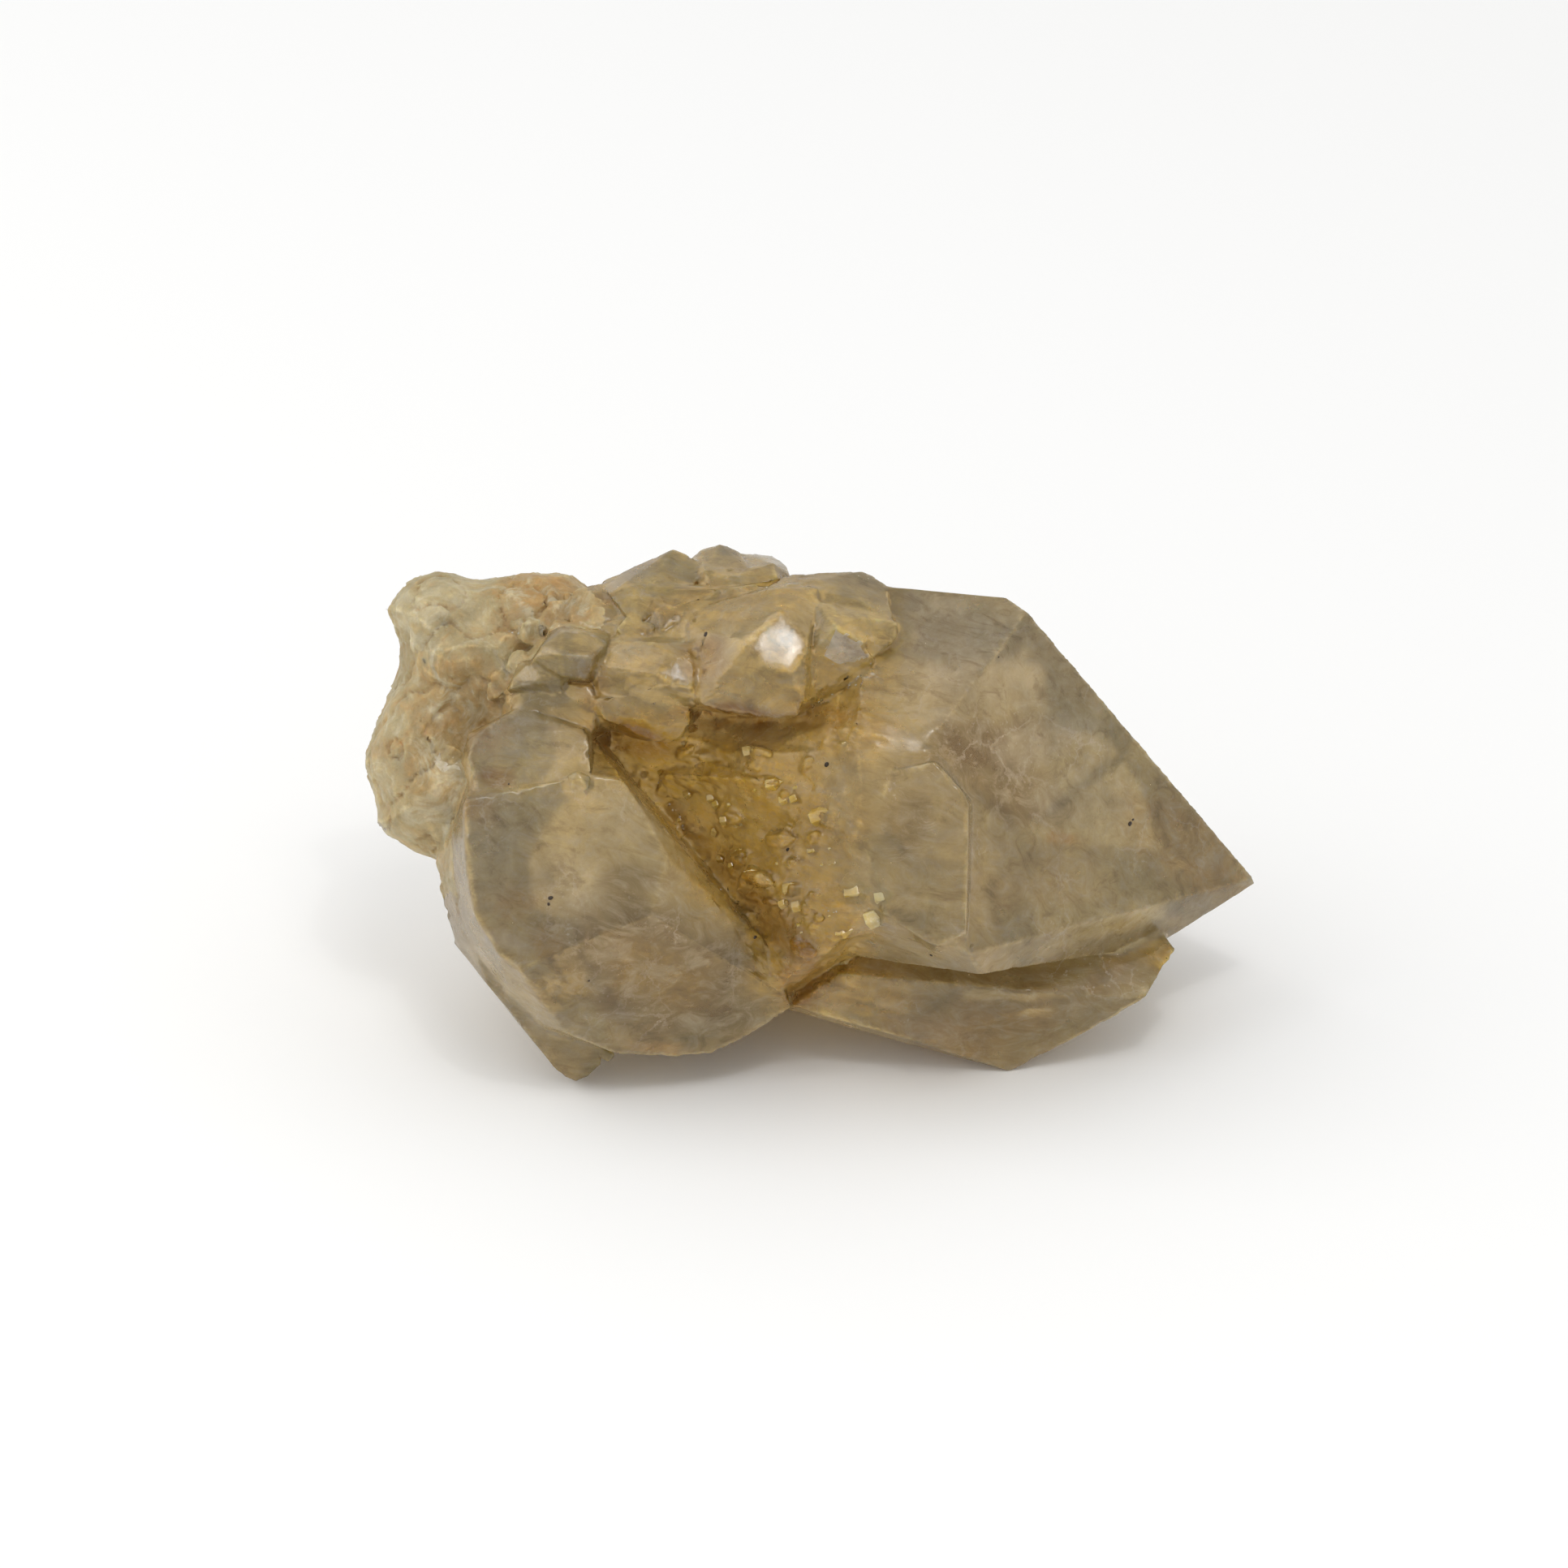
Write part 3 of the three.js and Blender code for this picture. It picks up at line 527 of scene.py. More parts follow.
def quartz_colour(tree, colours, where):
    """The quartz's colour: its body, the zones on it, and the veils, cracks and flecks inside it, with
    painted shade in deep places and on lower faces, painted light in the seams and on the left point's left
    side, and painted highlights on edges and glinting faces.
    """
    clouds = add_node(tree, "ShaderNodeTexNoise", {
        "Vector": where, "Scale": per(9), "Detail": 2, "Roughness": 0.6, "Distortion": 0.8})
    mottle = add_node(tree, "ShaderNodeTexNoise", {
        "Vector": where, "Scale": per(2.4), "Detail": 4, "Roughness": 0.72, "Distortion": 0.4})
    along = add_node(tree, "ShaderNodeMapping", {
        "Vector": where, "Rotation": GRAIN, "Scale": (4.5, 1, 1)}, vector_type="TEXTURE")
    drawn_out = add_node(tree, "ShaderNodeMapping", {
        "Vector": where, "Rotation": GRAIN, "Scale": (2.2, 1, 1)}, vector_type="TEXTURE")
    wisps = add_node(tree, "ShaderNodeTexNoise", {
        "Vector": drawn_out.outputs["Vector"],
        "Scale": per(2), "Detail": 5, "Roughness": 0.7, "Distortion": 1.2})
    fibres = add_node(tree, "ShaderNodeTexNoise", {
        "Vector": along.outputs["Vector"], "Scale": per(0.5), "Detail": 4, "Roughness": 0.6})
    marble = add_node(tree, "ShaderNodeTexNoise", {
        "Vector": where, "Scale": per(5), "Detail": 4, "Roughness": 0.62, "Distortion": 2.2})
    patches = add_node(tree, "ShaderNodeTexNoise", {"Vector": where, "Scale": per(6.5), "Detail": 1})
    bent = add_node(tree, "ShaderNodeVectorMath", {
        0: mottle.outputs["Color"], 1: (3 * MM, 3 * MM, 3 * MM), 2: where}, operation="MULTIPLY_ADD")
    sheets = add_node(tree, "ShaderNodeTexVoronoi", {
        "Vector": bent.outputs["Vector"], "Scale": per(5.5)}, feature="DISTANCE_TO_EDGE")
    grit = add_node(tree, "ShaderNodeTexNoise", {"Vector": where, "Scale": per(0.4), "Detail": 2})
    colour = (*colours.body, 1)
    # The zones; the smoke and umber zones also paint shade, the milk and glow zones light, and the frost
    # faces glints
    for name in ("smoke_and_shade", "milk_and_light", "glow", "honey", "umber_and_shade", "cream", "rust", "frost_and_glint"):
        mask = add_node(tree, "ShaderNodeAttribute", attribute_name=name)
        pattern = fibres if name in ("honey", "umber_and_shade") else marble if name == "rust" else mottle
        blotch = add_node(tree, "ShaderNodeMapRange", {
            "Value": pattern.outputs["Fac"],
            "From Min": 0.35, "From Max": 0.62, "To Min": 0.6, "To Max": 1.15})
        share = add_node(tree, "ShaderNodeMath", {
            0: mask.outputs["Fac"], 1: blotch.outputs["Result"]}, operation="MULTIPLY", use_clamp=True)
        over = (*getattr(colours, name), 1)
        colour = add_node(tree, "ShaderNodeMix", {
            "Factor": share.outputs[0], 6: colour, 7: over}, data_type="RGBA").outputs[2]
    cream = add_node(tree, "ShaderNodeAttribute", attribute_name="cream")
    honey = add_node(tree, "ShaderNodeAttribute", attribute_name="honey")
    crystal = add_node(tree, "ShaderNodeMath", {0: 1.0, 1: cream.outputs["Fac"]}, operation="SUBTRACT")
    clear = add_node(tree, "ShaderNodeMath", {
        0: honey.outputs["Fac"], 1: -0.6, 2: crystal.outputs[0]}, operation="MULTIPLY_ADD", use_clamp=True)
    here = add_node(tree, "ShaderNodeMapRange", {
        "Value": patches.outputs["Fac"], "From Min": 0.52, "From Max": 0.64, "To Max": 0.5})
    seam = add_node(tree, "ShaderNodeAttribute", attribute_name="seam")
    cracks = add_node(tree, "ShaderNodeAttribute", attribute_name="cracked")
    either = add_node(tree, "ShaderNodeMath", {
        0: here.outputs["Result"], 1: cracks.outputs["Fac"]}, operation="MAXIMUM")
    cracked = add_node(tree, "ShaderNodeMath", {
        0: clear.outputs[0], 1: either.outputs[0]}, operation="MULTIPLY")
    # Each layer: its pattern, the range of it that shows, how strongly, where, and the colour
    for pattern, start, end, most, place, name in (
        (wisps.outputs["Fac"], 0.48, 0.68, 0.75, clear.outputs[0], "milk_and_light"),
        (wisps.outputs["Fac"], 0.47, 0.32, 0.55, clear.outputs[0], "smoke_and_shade"),
        (sheets.outputs["Distance"], 0.03, 0, 0.8, cracked.outputs[0], "frost_and_glint"),
        (grit.outputs["Fac"], 0.62, 0.7, 0.7, cracked.outputs[0], "frost_and_glint"),
        (marble.outputs["Fac"], 0.5, 0.64, 0.35, cream.outputs["Fac"], "rust"),
        (marble.outputs["Fac"], 0.48, 0.36, 0.7, cream.outputs["Fac"], "milk_and_light"),
        (fibres.outputs["Fac"], 0.46, 0.3, 0.5, honey.outputs["Fac"], "umber_and_shade"),
        (fibres.outputs["Fac"], 0.55, 0.7, 0.4, honey.outputs["Fac"], "glow"),
        # Painted light in the seams, which lifts the shade where the crystals have grown together
        (seam.outputs["Fac"], 0.1, 0.9, 0.3, crystal.outputs[0], "glow"),
    ):
        shown = add_node(tree, "ShaderNodeMapRange", {
            "Value": pattern, "From Min": start, "From Max": end, "To Max": most})
        share = add_node(tree, "ShaderNodeMath", {
            0: shown.outputs["Result"], 1: place}, operation="MULTIPLY")
        over = (*getattr(colours, name), 1)
        colour = add_node(tree, "ShaderNodeMix", {
            "Factor": share.outputs[0], 6: colour, 7: over}, data_type="RGBA").outputs[2]
    tone = add_node(tree, "ShaderNodeMapRange", {
        "Value": clouds.outputs["Fac"], "From Min": 0.3, "From Max": 0.7, "To Min": 0.82, "To Max": 1.14})
    fine = add_node(tree, "ShaderNodeMapRange", {
        "Value": mottle.outputs["Fac"], "From Min": 0.3, "From Max": 0.7, "To Min": 0.8, "To Max": 1.16})
    value = add_node(tree, "ShaderNodeMath", {
        0: tone.outputs["Result"], 1: fine.outputs["Result"]}, operation="MULTIPLY")
    # Painted highlights along the outer crystal edges, which lift the tone there
    edge = add_node(tree, "ShaderNodeAttribute", attribute_name="edge")
    edge_highlight = add_node(tree, "ShaderNodeMapRange", {
        "Value": mottle.outputs["Fac"], "From Min": 0.4, "From Max": 0.65, "To Min": 0.08, "To Max": 0.5})
    lift = add_node(tree, "ShaderNodeMath", {
        0: edge.outputs["Fac"], 1: edge_highlight.outputs["Result"], 2: value.outputs[0],
    }, operation="MULTIPLY_ADD")
    return add_node(tree, "ShaderNodeHueSaturation", {
        "Color": colour, "Value": lift.outputs[0]}).outputs["Color"]


def quartz_material(name, colours, transmission, roughness, rough_gain, bump, absorb):
    """Quartz: IOR 1.544, a glassy mirror on smooth faces, and clouds inside it that make it milky."""
    # `rough_gain` is how much rougher worn places are, `bump` the depth of the relief in millimetres, and
    # `absorb` the density of the colour that light takes on inside.
    material = bpy.data.materials.new(name)
    material.use_nodes = True
    tree = material.node_tree
    shader = tree.nodes["Principled BSDF"]
    where = add_node(tree, "ShaderNodeTexCoord").outputs["Object"]
    tree.links.new(quartz_colour(tree, colours, where), shader.inputs["Base Color"])
    worn = add_node(tree, "ShaderNodeAttribute", attribute_name="rough")
    haze = add_node(tree, "ShaderNodeTexNoise", {"Vector": where, "Scale": per(2.5), "Detail": 3})
    spread = add_node(tree, "ShaderNodeMapRange", {
        "Value": haze.outputs["Fac"], "From Min": 0.3, "From Max": 0.7,
        "To Min": roughness - 0.06, "To Max": roughness + 0.08})
    finish = add_node(tree, "ShaderNodeMath", {
        0: worn.outputs["Fac"], 1: rough_gain, 2: spread.outputs["Result"],
    }, operation="MULTIPLY_ADD", use_clamp=True)
    tree.links.new(finish.outputs[0], shader.inputs["Roughness"])
    pits = add_node(tree, "ShaderNodeTexNoise", {
        "Vector": where, "Scale": per(0.6), "Detail": 2, "Roughness": 0.6})
    growth = add_node(tree, "ShaderNodeTexNoise", {
        "Vector": where, "Scale": per(5), "Detail": 2, "Roughness": 0.5})
    steps = add_node(tree, "ShaderNodeMath", {0: growth.outputs["Fac"], 1: 0.06}, operation="SNAP")
    pitted = add_node(tree, "ShaderNodeMath", {
        0: pits.outputs["Fac"], 1: worn.outputs["Fac"]}, operation="MULTIPLY")
    relief = add_node(tree, "ShaderNodeMath", {
        0: steps.outputs[0], 1: 0.8, 2: pitted.outputs[0]}, operation="MULTIPLY_ADD")
    normal = add_node(tree, "ShaderNodeBump", {
        "Height": relief.outputs[0], "Strength": 0.7, "Distance": bump * MM})
    tree.links.new(normal.outputs["Normal"], shader.inputs["Normal"])
    shader.inputs["IOR"].default_value = 1.544
    shader.inputs["Transmission Weight"].default_value = transmission
    shader.inputs["Subsurface Weight"].default_value = 0.6
    shader.inputs["Subsurface Radius"].default_value = (1.0, 0.8, 0.45)
    shader.inputs["Subsurface Scale"].default_value = 1.6 * MM
    if absorb:
        inside = add_node(tree, "ShaderNodeVolumeAbsorption")
        inside.inputs["Color"].default_value = (*colours.depth, 1)
        inside.inputs["Density"].default_value = absorb
        tree.links.new(inside.outputs["Volume"], tree.nodes["Material Output"].inputs["Volume"])
    return material


def finished(name, bm, materials):
    """Makes the piece from its bmesh, rides it on the cluster and gives it its materials."""
    mesh = bpy.data.meshes.new(name)
    bm.to_mesh(mesh)
    bm.free()
    for material in materials:
        mesh.materials.append(material)
    piece = bpy.data.objects.new(name, mesh)
    bpy.context.scene.collection.objects.link(piece)
    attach(piece, "root")
    return piece


def paint(piece, masks, domain="POINT"):
    """Writes the masks on the piece's mesh, where its material reads them."""
    for name, mask in masks.items():
        layer = piece.data.attributes.new(name, "FLOAT", domain)
        layer.data.foreach_set("value", mask.astype(np.float32))


def inside_box(bm):
    """Keeps every vertex within the solid's box."""
    low, high = CAD_BOX
    for vert in bm.verts:
        vert.co = Vector(min(max(c, a), b) for c, a, b in zip(vert.co, low, high))


def spots(points, zones, warp=0):
    """How strongly each point lies in the zones, from 0 to 1. `warp` moves the points, so that edges
    wander."""
    at = points[:, :2] + warp
    total = np.zeros(len(points))
    for (cu, cv), (hu, hv), turn, strength in zones:
        c, s = math.cos(math.radians(turn)), math.sin(math.radians(turn))
        u, v = at[:, 0] - cu, at[:, 1] - cv
        reach = np.hypot((u * c + v * s) / hu, (v * c - u * s) / hv)
        away = np.clip((reach - ZONE_CORE) / ZONE_FADE, 0, 1)
        total = np.maximum(total, strength * (1 - away * away * (3 - 2 * away)))
    return total


def within(points, corners):
    """Which points lie inside the outline, as the viewer sees them."""
    u, v = points[:, 0], points[:, 1]
    odd = np.zeros(len(points), bool)
    for (pu, pv), (qu, qv) in zip(corners, corners[1:] + corners[:1]):
        crosses = (pv > v) != (qv > v)
        # No point's level crosses a side without rise, so any rise but 0 will do there
        rise = (qv - pv) or 1e-9
        odd ^= crosses & (u < pu + (v - pv) / rise * (qu - pu))
    return odd


def ramp(values, start, end):
    """0 up to start, 1 from end, and smooth between."""
    share = np.clip((values - start) / (end - start), 0, 1)
    return share * share * (3 - 2 * share)


def viewer_points(bm):
    """Every vertex in the viewer's frame, in millimetres."""
    co = np.array([v.co - HEART for v in bm.verts]) / MM
    return co @ np.array([RIGHT, UP, NEAR]).T


def base_share(points, warp=0):
    """How far each point belongs to the broken base, which lies behind the faces of the left point."""
    return spots(points, CREAM, warp) * (1 - ramp(points[:, 2], *BASE_ENDS))


def hollow_share(points, warp=0):
    """How far each point belongs to the golden hollow, which only the front has."""
    return spots(points, HONEY, warp) * ramp(points[:, 2], *HOLLOW_BEGINS)


def on_edges(bm, sizes):
    """The vertices that lie on crystal edges."""
    return {v for e in bm.edges if e.calc_face_angle(0) > sizes.sharp for v in e.verts}


def neighbours(verts, reach):
    """The vertices that an edge shorter than `reach` joins to one of these."""
    return {e.other_vert(v) for v in verts for e in v.link_edges if e.calc_length() < reach}


def refine(bm, sizes):
    """Divides the mesh, finely along crystal edges and on broken quartz, and coarsely on flat faces."""
    for _ in range(DIVISIONS):
        bm.verts.index_update()
        points = viewer_points(bm)
        rugged = np.maximum(base_share(points), hollow_share(points)) > 0.3
        sharp = on_edges(bm, sizes)
        near = neighbours(sharp, 3 * sizes.edge_grain)
        long = []
        for edge in bm.edges:
            a, b = edge.verts
            if a in sharp and b in sharp:
                limit = sizes.edge_grain
            elif a in sharp or b in sharp or a in near or b in near:
                limit = 2 * sizes.edge_grain
            else:
                limit = sizes.rugged_grain if rugged[a.index] or rugged[b.index] else sizes.grain
            if edge.calc_length() > limit:
                long.append(edge)
        if not long:
            break
        bmesh.ops.subdivide_edges(bm, edges=long, cuts=1)
        bmesh.ops.triangulate(bm, faces=[f for f in bm.faces if len(f.verts) > 3])


def bends(bm, sizes):
    """How each vertex on a crystal edge bends: up to 1 on an outer edge, down to -1 in a seam."""
    bm.normal_update()
    found = {}
    for v in on_edges(bm, sizes):
        mean = sum((e.other_vert(v).co for e in v.link_edges), Vector()) / len(v.link_edges)
        found[v] = min(max(-(mean - v.co).dot(v.normal) / FULL_BEND, -1), 1)
    return found


def soften(bm, bend, points):
    """Rounds the outer edges a little and fills the seams, where the crystals have grown together. Returns
    how far each vertex lies in a seam, from 0 to 1."""
    seam = {v for v, b in bend.items() if b < -SEAM_BEND}
    for _ in range(SEAM_RINGS):
        seam |= {v for v in neighbours(seam, RING_REACH) if bend.get(v, 0) < SEAM_BEND}
    seam -= {v for v, share in zip(bm.verts, spots(points, CRISP)) if share > 0.5}
    outer = [v for v in bend if v not in seam]
    merging = [v for v, share in zip(bm.verts, spots(points, MERGING)) if share > 0.5]
    for verts, rounds in ((outer, EDGE_ROUNDS), (list(seam), SEAM_ROUNDS), (merging, MERGING_ROUNDS)):
        for _ in range(rounds):
            bmesh.ops.smooth_vert(
                bm, verts=verts, factor=0.4, use_axis_x=True, use_axis_y=True, use_axis_z=True)
    bm.verts.index_update()
    share = np.zeros(len(bm.verts))
    for v in seam:
        share[v.index] = 0.5 + 0.5 * max(0, -bend.get(v, 0))
    return share


def crease(at):
    """How deep a point of the base lies in one of the creases between its lobes, from 0 to 1."""
    # The lobes are a noise about 4 mm across, and the creases follow the lines on which it is near 0
    lobes = noise.noise(at * 0.24 + Vector((5, 1, 2)))
    return max(0, 1 - abs(lobes) / 0.08)


def relief(at, base, hollow):
    """How far the surface swells at a point of the viewer's frame, in millimetres."""
    swell = 0.04 * noise.noise(at * 0.4)
    if base > 0.02:
        u, v = at.x - FAN_U, at.y - FAN_V
        crumbs = 0.24 * noise.noise(at * 0.9) + 0.2 * abs(noise.noise(at * 1.9))
        crumbs += 0.09 * noise.noise(at * 4.2)
        away = math.hypot(u, v)
        fibres = noise.noise(Vector((7 * math.atan2(v, u), 0.35 * away, 3)))
        fan = math.exp(-(((away - 3.2) / 2.4) ** 2))
        swell += base * (crumbs - 0.5 * crease(at) + 0.22 * fibres * fan)
    if hollow > 0.02:
        along, across = ALONG_U * at.x + ALONG_V * at.y, -ALONG_V * at.x + ALONG_U * at.y
        ribs = noise.noise(Vector((0.16 * along, 0.75 * across, 0.3 * at.z)))
        fine = noise.noise(Vector((0.4 * along, 2.1 * across, 0.8 * at.z)))
        crumbs = noise.noise(at * 1.3)
        swell += hollow * (0.36 * ribs + 0.16 * fine + 0.2 * crumbs + 0.08 * noise.noise(at * 3.4))
    return swell


def nicks(bm, bend):
    """Small chips out of the outer edges."""
    for v, b in bend.items():
        if b > 0.2:
            large = max(0, noise.noise(v.co / MM * 1.1) - 0.12)
            small = max(0, noise.noise(v.co / MM * 2.9) - 0.25)
            depth = large * 0.6 + small * 0.3
            v.co -= v.normal * depth * b * MM


def frosted(bm, points):
    """How frosted each face of the mesh is, or how strong the painted glint on it is, from 0 to 1."""
    middles = np.array([points[[v.index for v in face.verts]].mean(axis=0) for face in bm.faces])
    normals = np.array([face.normal for face in bm.faces]) @ np.array([RIGHT, UP, NEAR]).T
    frost_and_glint = np.zeros(len(middles))
    for strength, corners in FROSTED_AND_GLINTING_FACES:
        # The crystal face that fills most of the outline, up to its own edges
        inside = within(middles, corners) & (middles[:, 2] > 2) & (normals[:, 2] > 0)
        usual = np.median(normals[inside], axis=0)
        same = normals @ usual > math.cos(SAME_FACE) * np.linalg.norm(usual)
        frost_and_glint = np.maximum(frost_and_glint, strength * (inside & same))
    return frost_and_glint


class CITRINE_OT_cluster(bpy.types.Operator):
    """The crystals and the base, with rounded edges, grown-over seams, worn places, zones of colour, and
    painted light, shade, highlights and glints
    """

    bl_idname = "citrine.cluster"
    bl_label = "Cluster"

    def execute(self, context):
        settings = context.scene.citrine
        sizes = settings.sizes
        bm = bmesh.new()
        bm.from_mesh(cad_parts[SOLID].data)
        bmesh.ops.remove_doubles(bm, verts=bm.verts, dist=WELD)
        bmesh.ops.dissolve_limit(bm, angle_limit=FLAT, verts=bm.verts, edges=bm.edges)
        bmesh.ops.triangulate(bm, faces=bm.faces)
        refine(bm, sizes)
        bend = bends(bm, sizes)
        nicks(bm, bend)
        seam = soften(bm, bend, viewer_points(bm))
        bm.normal_update()
        points = viewer_points(bm)
        warp = np.array([noise.noise_vector(Vector(p) * 0.28) for p in points])[:, :2] * 1.4
        # Among these masks, the smoke zones also paint shade on the lower faces and under the overhang, and
        # the milk zones paint light on the left side of the left point
        masks = {name: spots(points, zones, warp) for name, zones in (
            ("rust", RUST), ("smoke_and_shade", SMOKE_AND_SHADE), ("milk_and_light", MILK_AND_LIGHT), ("cracked", CRACKED), ("glow", GLOW))}
        masks["seam"] = seam
        masks["cream"] = base_share(points, warp)
        masks["honey"] = hollow_share(points, warp)
        # Painted shade in the deepest places of the hollow and of the gaps between crystals
        masks["umber_and_shade"] = spots(points, DEEP_SHADE, warp * 0.5) * ramp(points[:, 2], *HOLLOW_BEGINS)
        creases = masks["cream"] * [crease(Vector(p)) for p in points]
        masks["rust"] = np.maximum(masks["rust"], creases * 0.45)
        masks["rough"] = np.clip(masks["cream"] * 0.8 + masks["honey"] * 0.5, 0, 1)
        for v, p, base, hollow in zip(bm.verts, points, masks["cream"], masks["honey"]):
            v.co += v.normal * relief(Vector(p), base, hollow) * MM
        inside_box(bm)
        bm.verts.index_update()
        # Painted highlights on the outer edges
        masks["edge"] = np.zeros(len(points))
        for v, b in bend.items():
            masks["edge"][v.index] = max(b, 0)
        # Frosted and broken faces, and painted glints on faces that catch the light
        frost_and_glint = frosted(bm, points)
        # A face is massive quartz where its three corners are that by half or more on the average
        for face in bm.faces:
            face.smooth = True
            face.material_index = int(sum(masks["cream"][v.index] for v in face.verts) > 1.5)
        piece = finished("quartz_cluster", bm, [
            # Cloudy quartz crystal: glassy faces over a milky, honey-coloured inside
            quartz_material(
                "cloudy citrine crystal", settings.colours,
                transmission=0.7, roughness=0.2, rough_gain=0.2, bump=0.12, absorb=28),
            # Massive vein quartz: broken, waxy and nearly opaque
            quartz_material(
                "massive milky quartz", settings.colours,
                transmission=0.3, roughness=0.36, rough_gain=0.2, bump=0.3, absorb=28),
        ])
        paint(piece, masks)
        paint(piece, {"frost_and_glint": frost_and_glint}, "FACE")
        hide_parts(SOLID)
        return {"FINISHED"}


def surface():
    """The finished cluster, to lay small things on."""
    mesh = bpy.data.objects["quartz_cluster"].data
    return BVHTree.FromPolygons([v.co for v in mesh.vertices], [tuple(p.vertices) for p in mesh.polygons])


def seen(tree, u, v):
    """Where the viewer sees the cluster at (u, v): the point on it and its normal, or None."""
    start = placed(u, v, 60)
    spot, normal, _, _ = tree.ray_cast(start, -NEAR)
    return (spot, normal) if spot else None


def crystal_template():
    """One six-sided quartz point with a radius of 1: its mesh, and the middle and normal of one face of its
    tip."""
    bm = bmesh.new()
    bmesh.ops.create_circle(bm, cap_ends=True, radius=1, segments=6)
    foot = bm.faces[:]
    grown = bmesh.ops.extrude_face_region(bm, geom=foot, use_keep_orig=True)["geom"]
    top = [g for g in grown if isinstance(g, bmesh.types.BMVert)]
    bmesh.ops.translate(bm, verts=top, vec=(0, 0, 1.2))
    cap = [g for g in grown if isinstance(g, bmesh.types.BMFace)]
    end = bmesh.ops.poke(bm, faces=cap)
    bmesh.ops.translate(bm, verts=end["verts"], vec=(0.1, 0.06, 1.25))
    bmesh.ops.recalc_face_normals(bm, faces=bm.faces)
    face = end["faces"][0]
    middle, normal = face.calc_center_median(), face.normal.copy()
    mesh = bpy.data.meshes.new("crystal template")
    bm.to_mesh(mesh)
    bm.free()
    return mesh, middle, normal


def turned(normal, way, lean):
    """The turn that makes the template's face look along `way`, with its tip towards `lean`."""
    first = normal.rotation_difference(way)
    tip = first @ Vector((0, 0, 1))
    tip -= way * tip.dot(way)
    flat = lean - way * lean.dot(way)
    return tip.rotation_difference(flat) @ first


class CITRINE_OT_druse(bpy.types.Operator):
    """The fine quartz points in the hollow, and the sparkling ones, with painted glints, on glinting faces
    and along the edges
    """

    bl_idname = "citrine.druse"
    bl_label = "Fine crystals"

    def execute(self, context):
        settings = context.scene.citrine
        draw = random.Random(83)
        tree = surface()
        template, middle, normal = crystal_template()
        # Where, radius in millimetres, how far it leans out of line in degrees, and how strongly a white
        # glint is painted on it
        wanted = [(spot, radius, STRAY["facet"], 0) for spot, radius in FACETS]
        while len(wanted) < len(FACETS) + settings.sizes.druse_count:
            spot = (draw.uniform(*DRUSE_ACROSS), draw.uniform(*DRUSE_UP))
            if hollow_share(np.array([[*spot, 10.0]]))[0] > 0.6:
                kind = "wild druse" if draw.random() < 0.5 else "druse"
                radius = settings.sizes.druse / MM * (0.25 + 0.75 * draw.random() ** 3)
                wanted.append((spot, radius, STRAY[kind], 0))
        for (cu, cv), (hu, hv), turn, count in SPARKLES:
            c, s = math.cos(math.radians(turn)), math.sin(math.radians(turn))
            for _ in range(count):
                x, y = hu * draw.uniform(-1, 1), hv * draw.uniform(-1, 1)
                spot = (cu + x * c - y * s, cv + x * s + y * c)
                wanted.append((spot, draw.uniform(*SPARKLE_RADII), STRAY["sparkle"], SPARKLE_GLINT))
        bm = bmesh.new()
        white = []
        for (u, v), radius, stray, painted_glint in wanted:
            found = seen(tree, u, v)
            if not found or found[1].dot(NEAR) < 0.2:
                continue
            aside = math.tan(math.radians(stray))
            way = direction(*(c + aside * draw.uniform(-1, 1) for c in GLINT_UVW))
            lean = direction(1, 0.2 + draw.uniform(-0.2, 0.2), 0)
            place = Matrix.LocRotScale(None, turned(normal, way, lean), Vector((radius, radius, radius)) * MM)
            # Its face lies a quarter of its radius under the surface
            place.translation = found[0] - found[1] * 0.25 * radius * MM - place @ middle
            start = len(bm.verts)
            bm.from_mesh(template)
            bm.verts.ensure_lookup_table()
            bmesh.ops.transform(bm, matrix=place, verts=bm.verts[start:])
            white += [painted_glint] * (len(bm.verts) - start)
        inside_box(bm)
        points = viewer_points(bm)
        piece = finished("fine_crystals", bm, [
            # Clear drusy quartz: tiny glassy faces, tinted like the quartz that they grow from
            quartz_material(
                "drusy citrine quartz", settings.colours,
                transmission=0.15, roughness=0.16, rough_gain=0, bump=0.02, absorb=0),
        ])
        paint(piece, {
            "honey": hollow_share(points) * 0.85,
            # Painted shade on the fine crystals in the deepest places, and a little over the whole hollow
            "umber_and_shade": np.maximum(spots(points, DEEP_SHADE) * 0.6, 0.2 * hollow_share(points)),
            # Painted glints on the sparkling crystals
            "frost_and_glint": np.array(white),
        })
        bpy.data.meshes.remove(template)
        return {"FINISHED"}


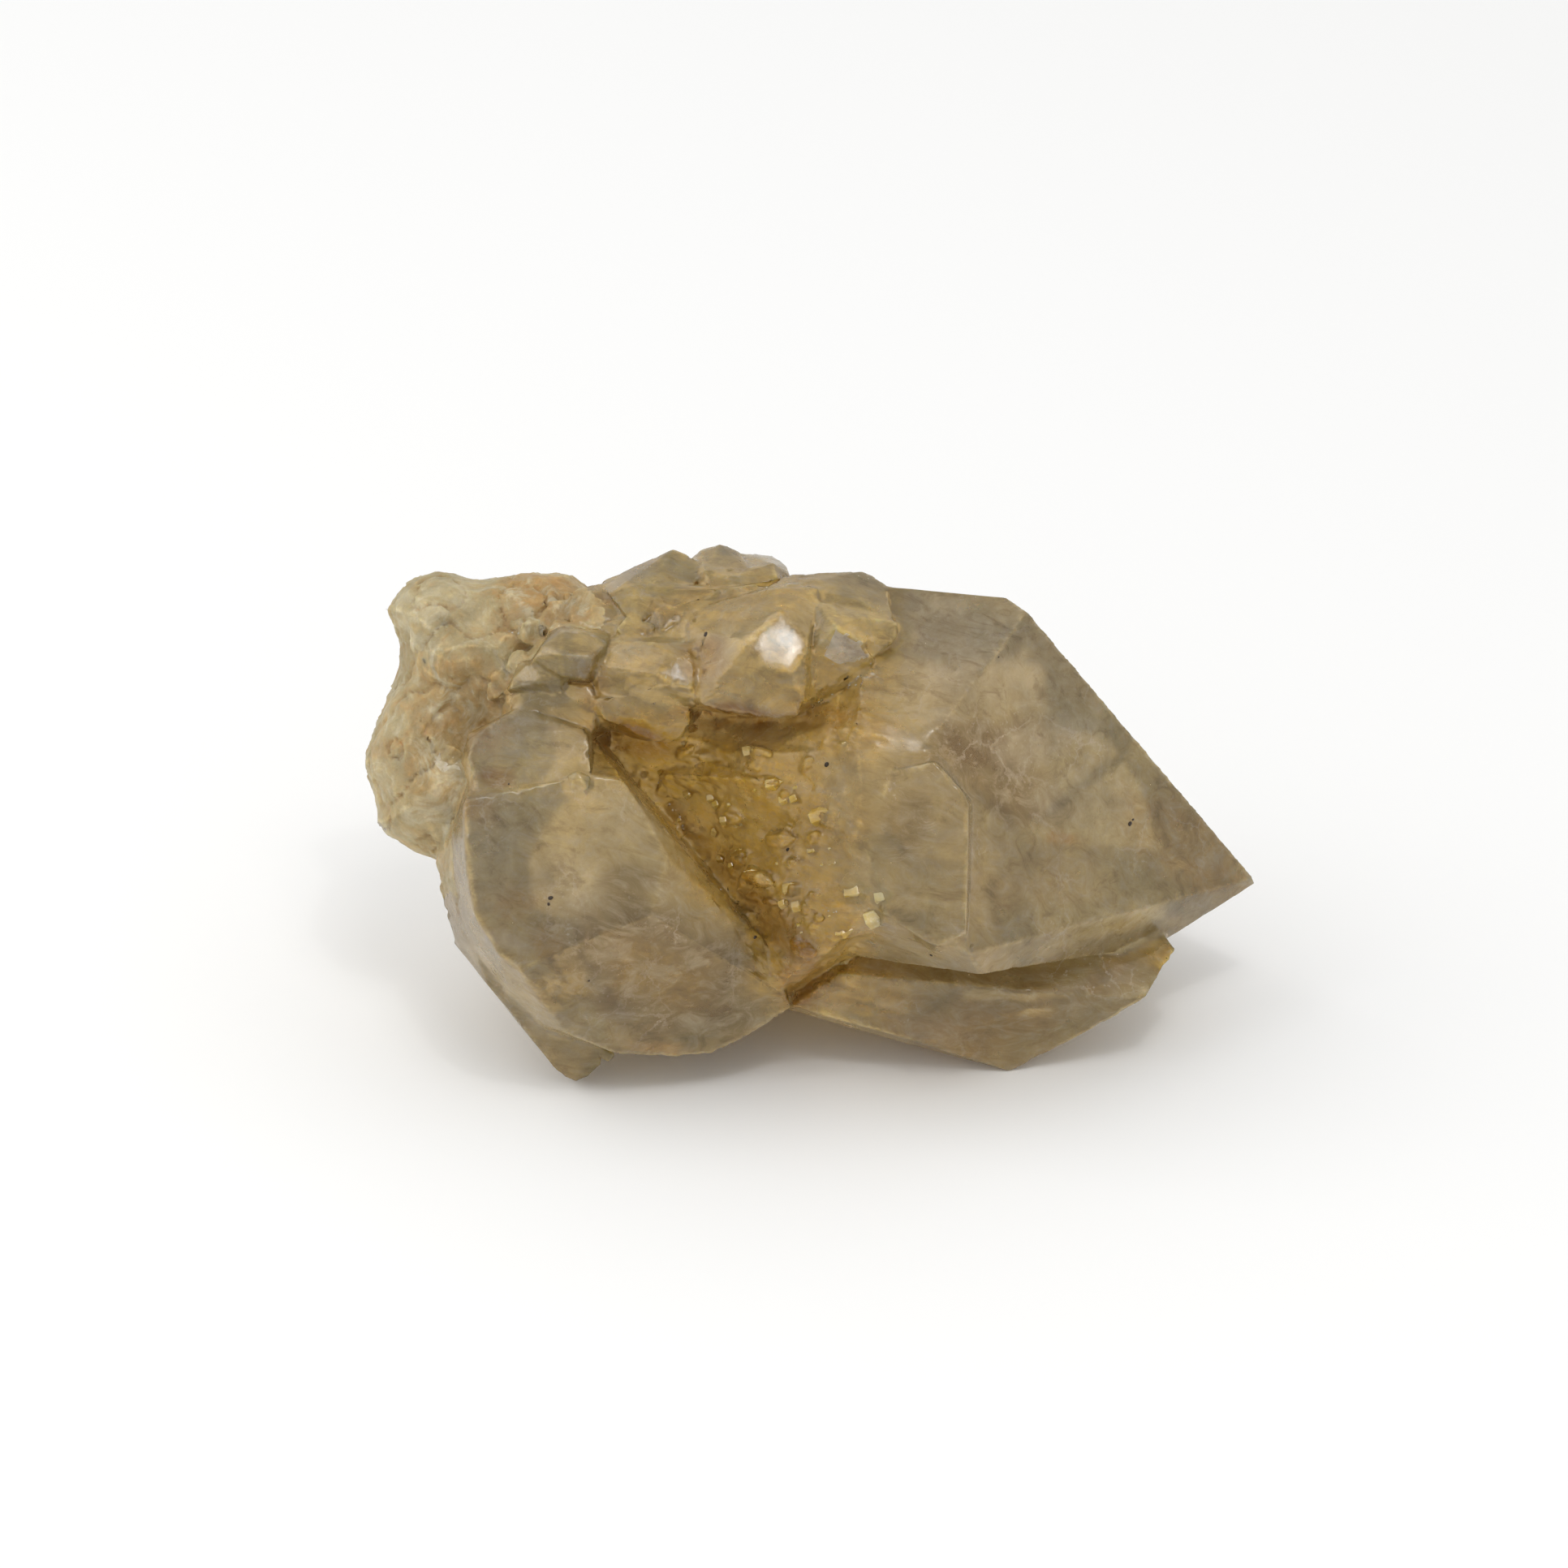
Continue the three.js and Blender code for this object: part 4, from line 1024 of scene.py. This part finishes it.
class CITRINE_OT_grains(bpy.types.Operator):
    """The dark mineral grains that sit half sunk in the faces"""

    bl_idname = "citrine.grains"
    bl_label = "Dark grains"

    def execute(self, context):
        draw = random.Random(7)
        tree = surface()
        bm = bmesh.new()
        for (u, v), radius in GRAINS:
            found = seen(tree, u, v)
            if not found:
                raise RuntimeError(f"no surface under the grain at {u}, {v}")
            spot, normal = found
            turn = Matrix.Rotation(draw.uniform(0, math.pi), 4, normal)
            flat = normal.to_track_quat("Z", "Y").to_matrix().to_4x4()
            shape = Matrix.Diagonal((radius * 1.25 * MM, radius * 0.9 * MM, radius * 0.7 * MM, 1))
            bmesh.ops.create_icosphere(
                bm, subdivisions=2, radius=1, matrix=Matrix.Translation(spot) @ turn @ flat @ shape)
        for v in bm.verts:
            v.co += noise.noise_vector(v.co / MM * 4) * 0.03 * MM
        inside_box(bm)
        # Dark iron oxide: small opaque grains with a dull metal gleam
        dark = bpy.data.materials.new("dark iron oxide")
        dark.use_nodes = True
        tree = dark.node_tree
        shader = tree.nodes["Principled BSDF"]
        where = add_node(tree, "ShaderNodeTexCoord").outputs["Object"]
        patch = add_node(tree, "ShaderNodeTexNoise", {"Vector": where, "Scale": per(0.2)})
        tint = add_node(tree, "ShaderNodeMix", {
            "Factor": patch.outputs["Fac"], 6: (*linear("#1d1208"), 1), 7: (*linear("#3a2a12"), 1),
        }, data_type="RGBA")
        tree.links.new(tint.outputs[2], shader.inputs["Base Color"])
        shader.inputs["Roughness"].default_value = 0.45
        finished("mineral_grains", bm, [dark])
        return {"FINISHED"}


class CITRINE_OT_stage(bpy.types.Operator):
    """The floor, the soft light and the camera at the photograph's angle"""

    bl_idname = "citrine.stage"
    bl_label = "Stage"

    def execute(self, context):
        scene = context.scene
        settings = scene.citrine.stage
        bm = bmesh.new()
        bmesh.ops.create_grid(bm, x_segments=1, y_segments=1, size=FLOOR)
        mesh = bpy.data.meshes.new("floor")
        bm.to_mesh(mesh)
        bm.free()
        floor = bpy.data.objects.new("floor", mesh)
        scene.collection.objects.link(floor)
        # White photographic card: matt
        card = bpy.data.materials.new("white card")
        card.use_nodes = True
        shader = card.node_tree.nodes["Principled BSDF"]
        shader.inputs["Base Color"].default_value = (*linear("#fbfbfa"), 1)
        shader.inputs["Roughness"].default_value = 0.9
        mesh.materials.append(card)
        world = bpy.data.worlds.new("room")
        world.use_nodes = True
        background = world.node_tree.nodes["Background"]
        background.inputs["Strength"].default_value = settings.sky
        background.inputs["Color"].default_value = (1, 1, 1, 1)
        scene.world = world
        # Each light: where it is as the viewer sees it, its power, its side and its distance in metres
        for name, way, power, size, distance in (
            ("key light", (-0.95, 0.85, 0.5), settings.key, 0.5, 0.6),
            ("front light", (0.1, 0.55, 0.86), settings.front, 0.22, 0.7),
            ("sparkle light", (0.12, 0.52, 0.86), settings.sparkle, 0.03, 0.68),
        ):
            lamp = bpy.data.lights.new(name, "AREA")
            lamp.energy = power
            lamp.size = size
            light = bpy.data.objects.new(name, lamp)
            scene.collection.objects.link(light)
            towards = direction(*way)
            light.location = HEART + towards * distance
            light.rotation_euler = towards.to_track_quat("Z", "Y").to_euler()
        lens = bpy.data.cameras.new("camera")
        lens.sensor_width = SENSOR
        lens.lens = settings.lens
        lens.clip_end = 20
        camera = bpy.data.objects.new("camera", lens)
        scene.collection.objects.link(camera)
        camera.location = placed(*FRAME_CENTRE, FRAME_WIDTH / SENSOR * settings.lens)
        camera.rotation_euler = NEAR.to_track_quat("Z", "Y").to_euler()
        scene.camera = camera
        scene.view_settings.view_transform = "Standard"
        return {"FINISHED"}


class CITRINE_PT_panel(bpy.types.Panel):
    """Lists the pieces and their settings"""

    bl_label = "Citrine"
    bl_space_type = "VIEW_3D"
    bl_region_type = "UI"
    bl_category = "Citrine"

    def draw(self, context):
        settings = context.scene.citrine
        for operator in OPERATORS:
            self.layout.operator(operator.bl_idname)
        for group in (settings.colours, settings.sizes, settings.stage):
            box = self.layout.box()
            for name in group.__annotations__:
                box.prop(group, name)


GROUPS = (CitrineColours, CitrineSizes, CitrineStage, CitrineSettings)
OPERATORS = (CITRINE_OT_stage, CITRINE_OT_cluster, CITRINE_OT_druse, CITRINE_OT_grains)
CLASSES = (*GROUPS, *OPERATORS, CITRINE_PT_panel)


def register():
    for cls in CLASSES:
        bpy.utils.register_class(cls)
    bpy.types.Scene.citrine = bpy.props.PointerProperty(type=CitrineSettings)


def unregister():
    del bpy.types.Scene.citrine
    for cls in reversed(CLASSES):
        bpy.utils.unregister_class(cls)


def main():
    register()
    bpy.ops.citrine.stage()
    bpy.ops.citrine.cluster()
    bpy.ops.citrine.druse()
    bpy.ops.citrine.grains()


if __name__ == "__main__":
    main()
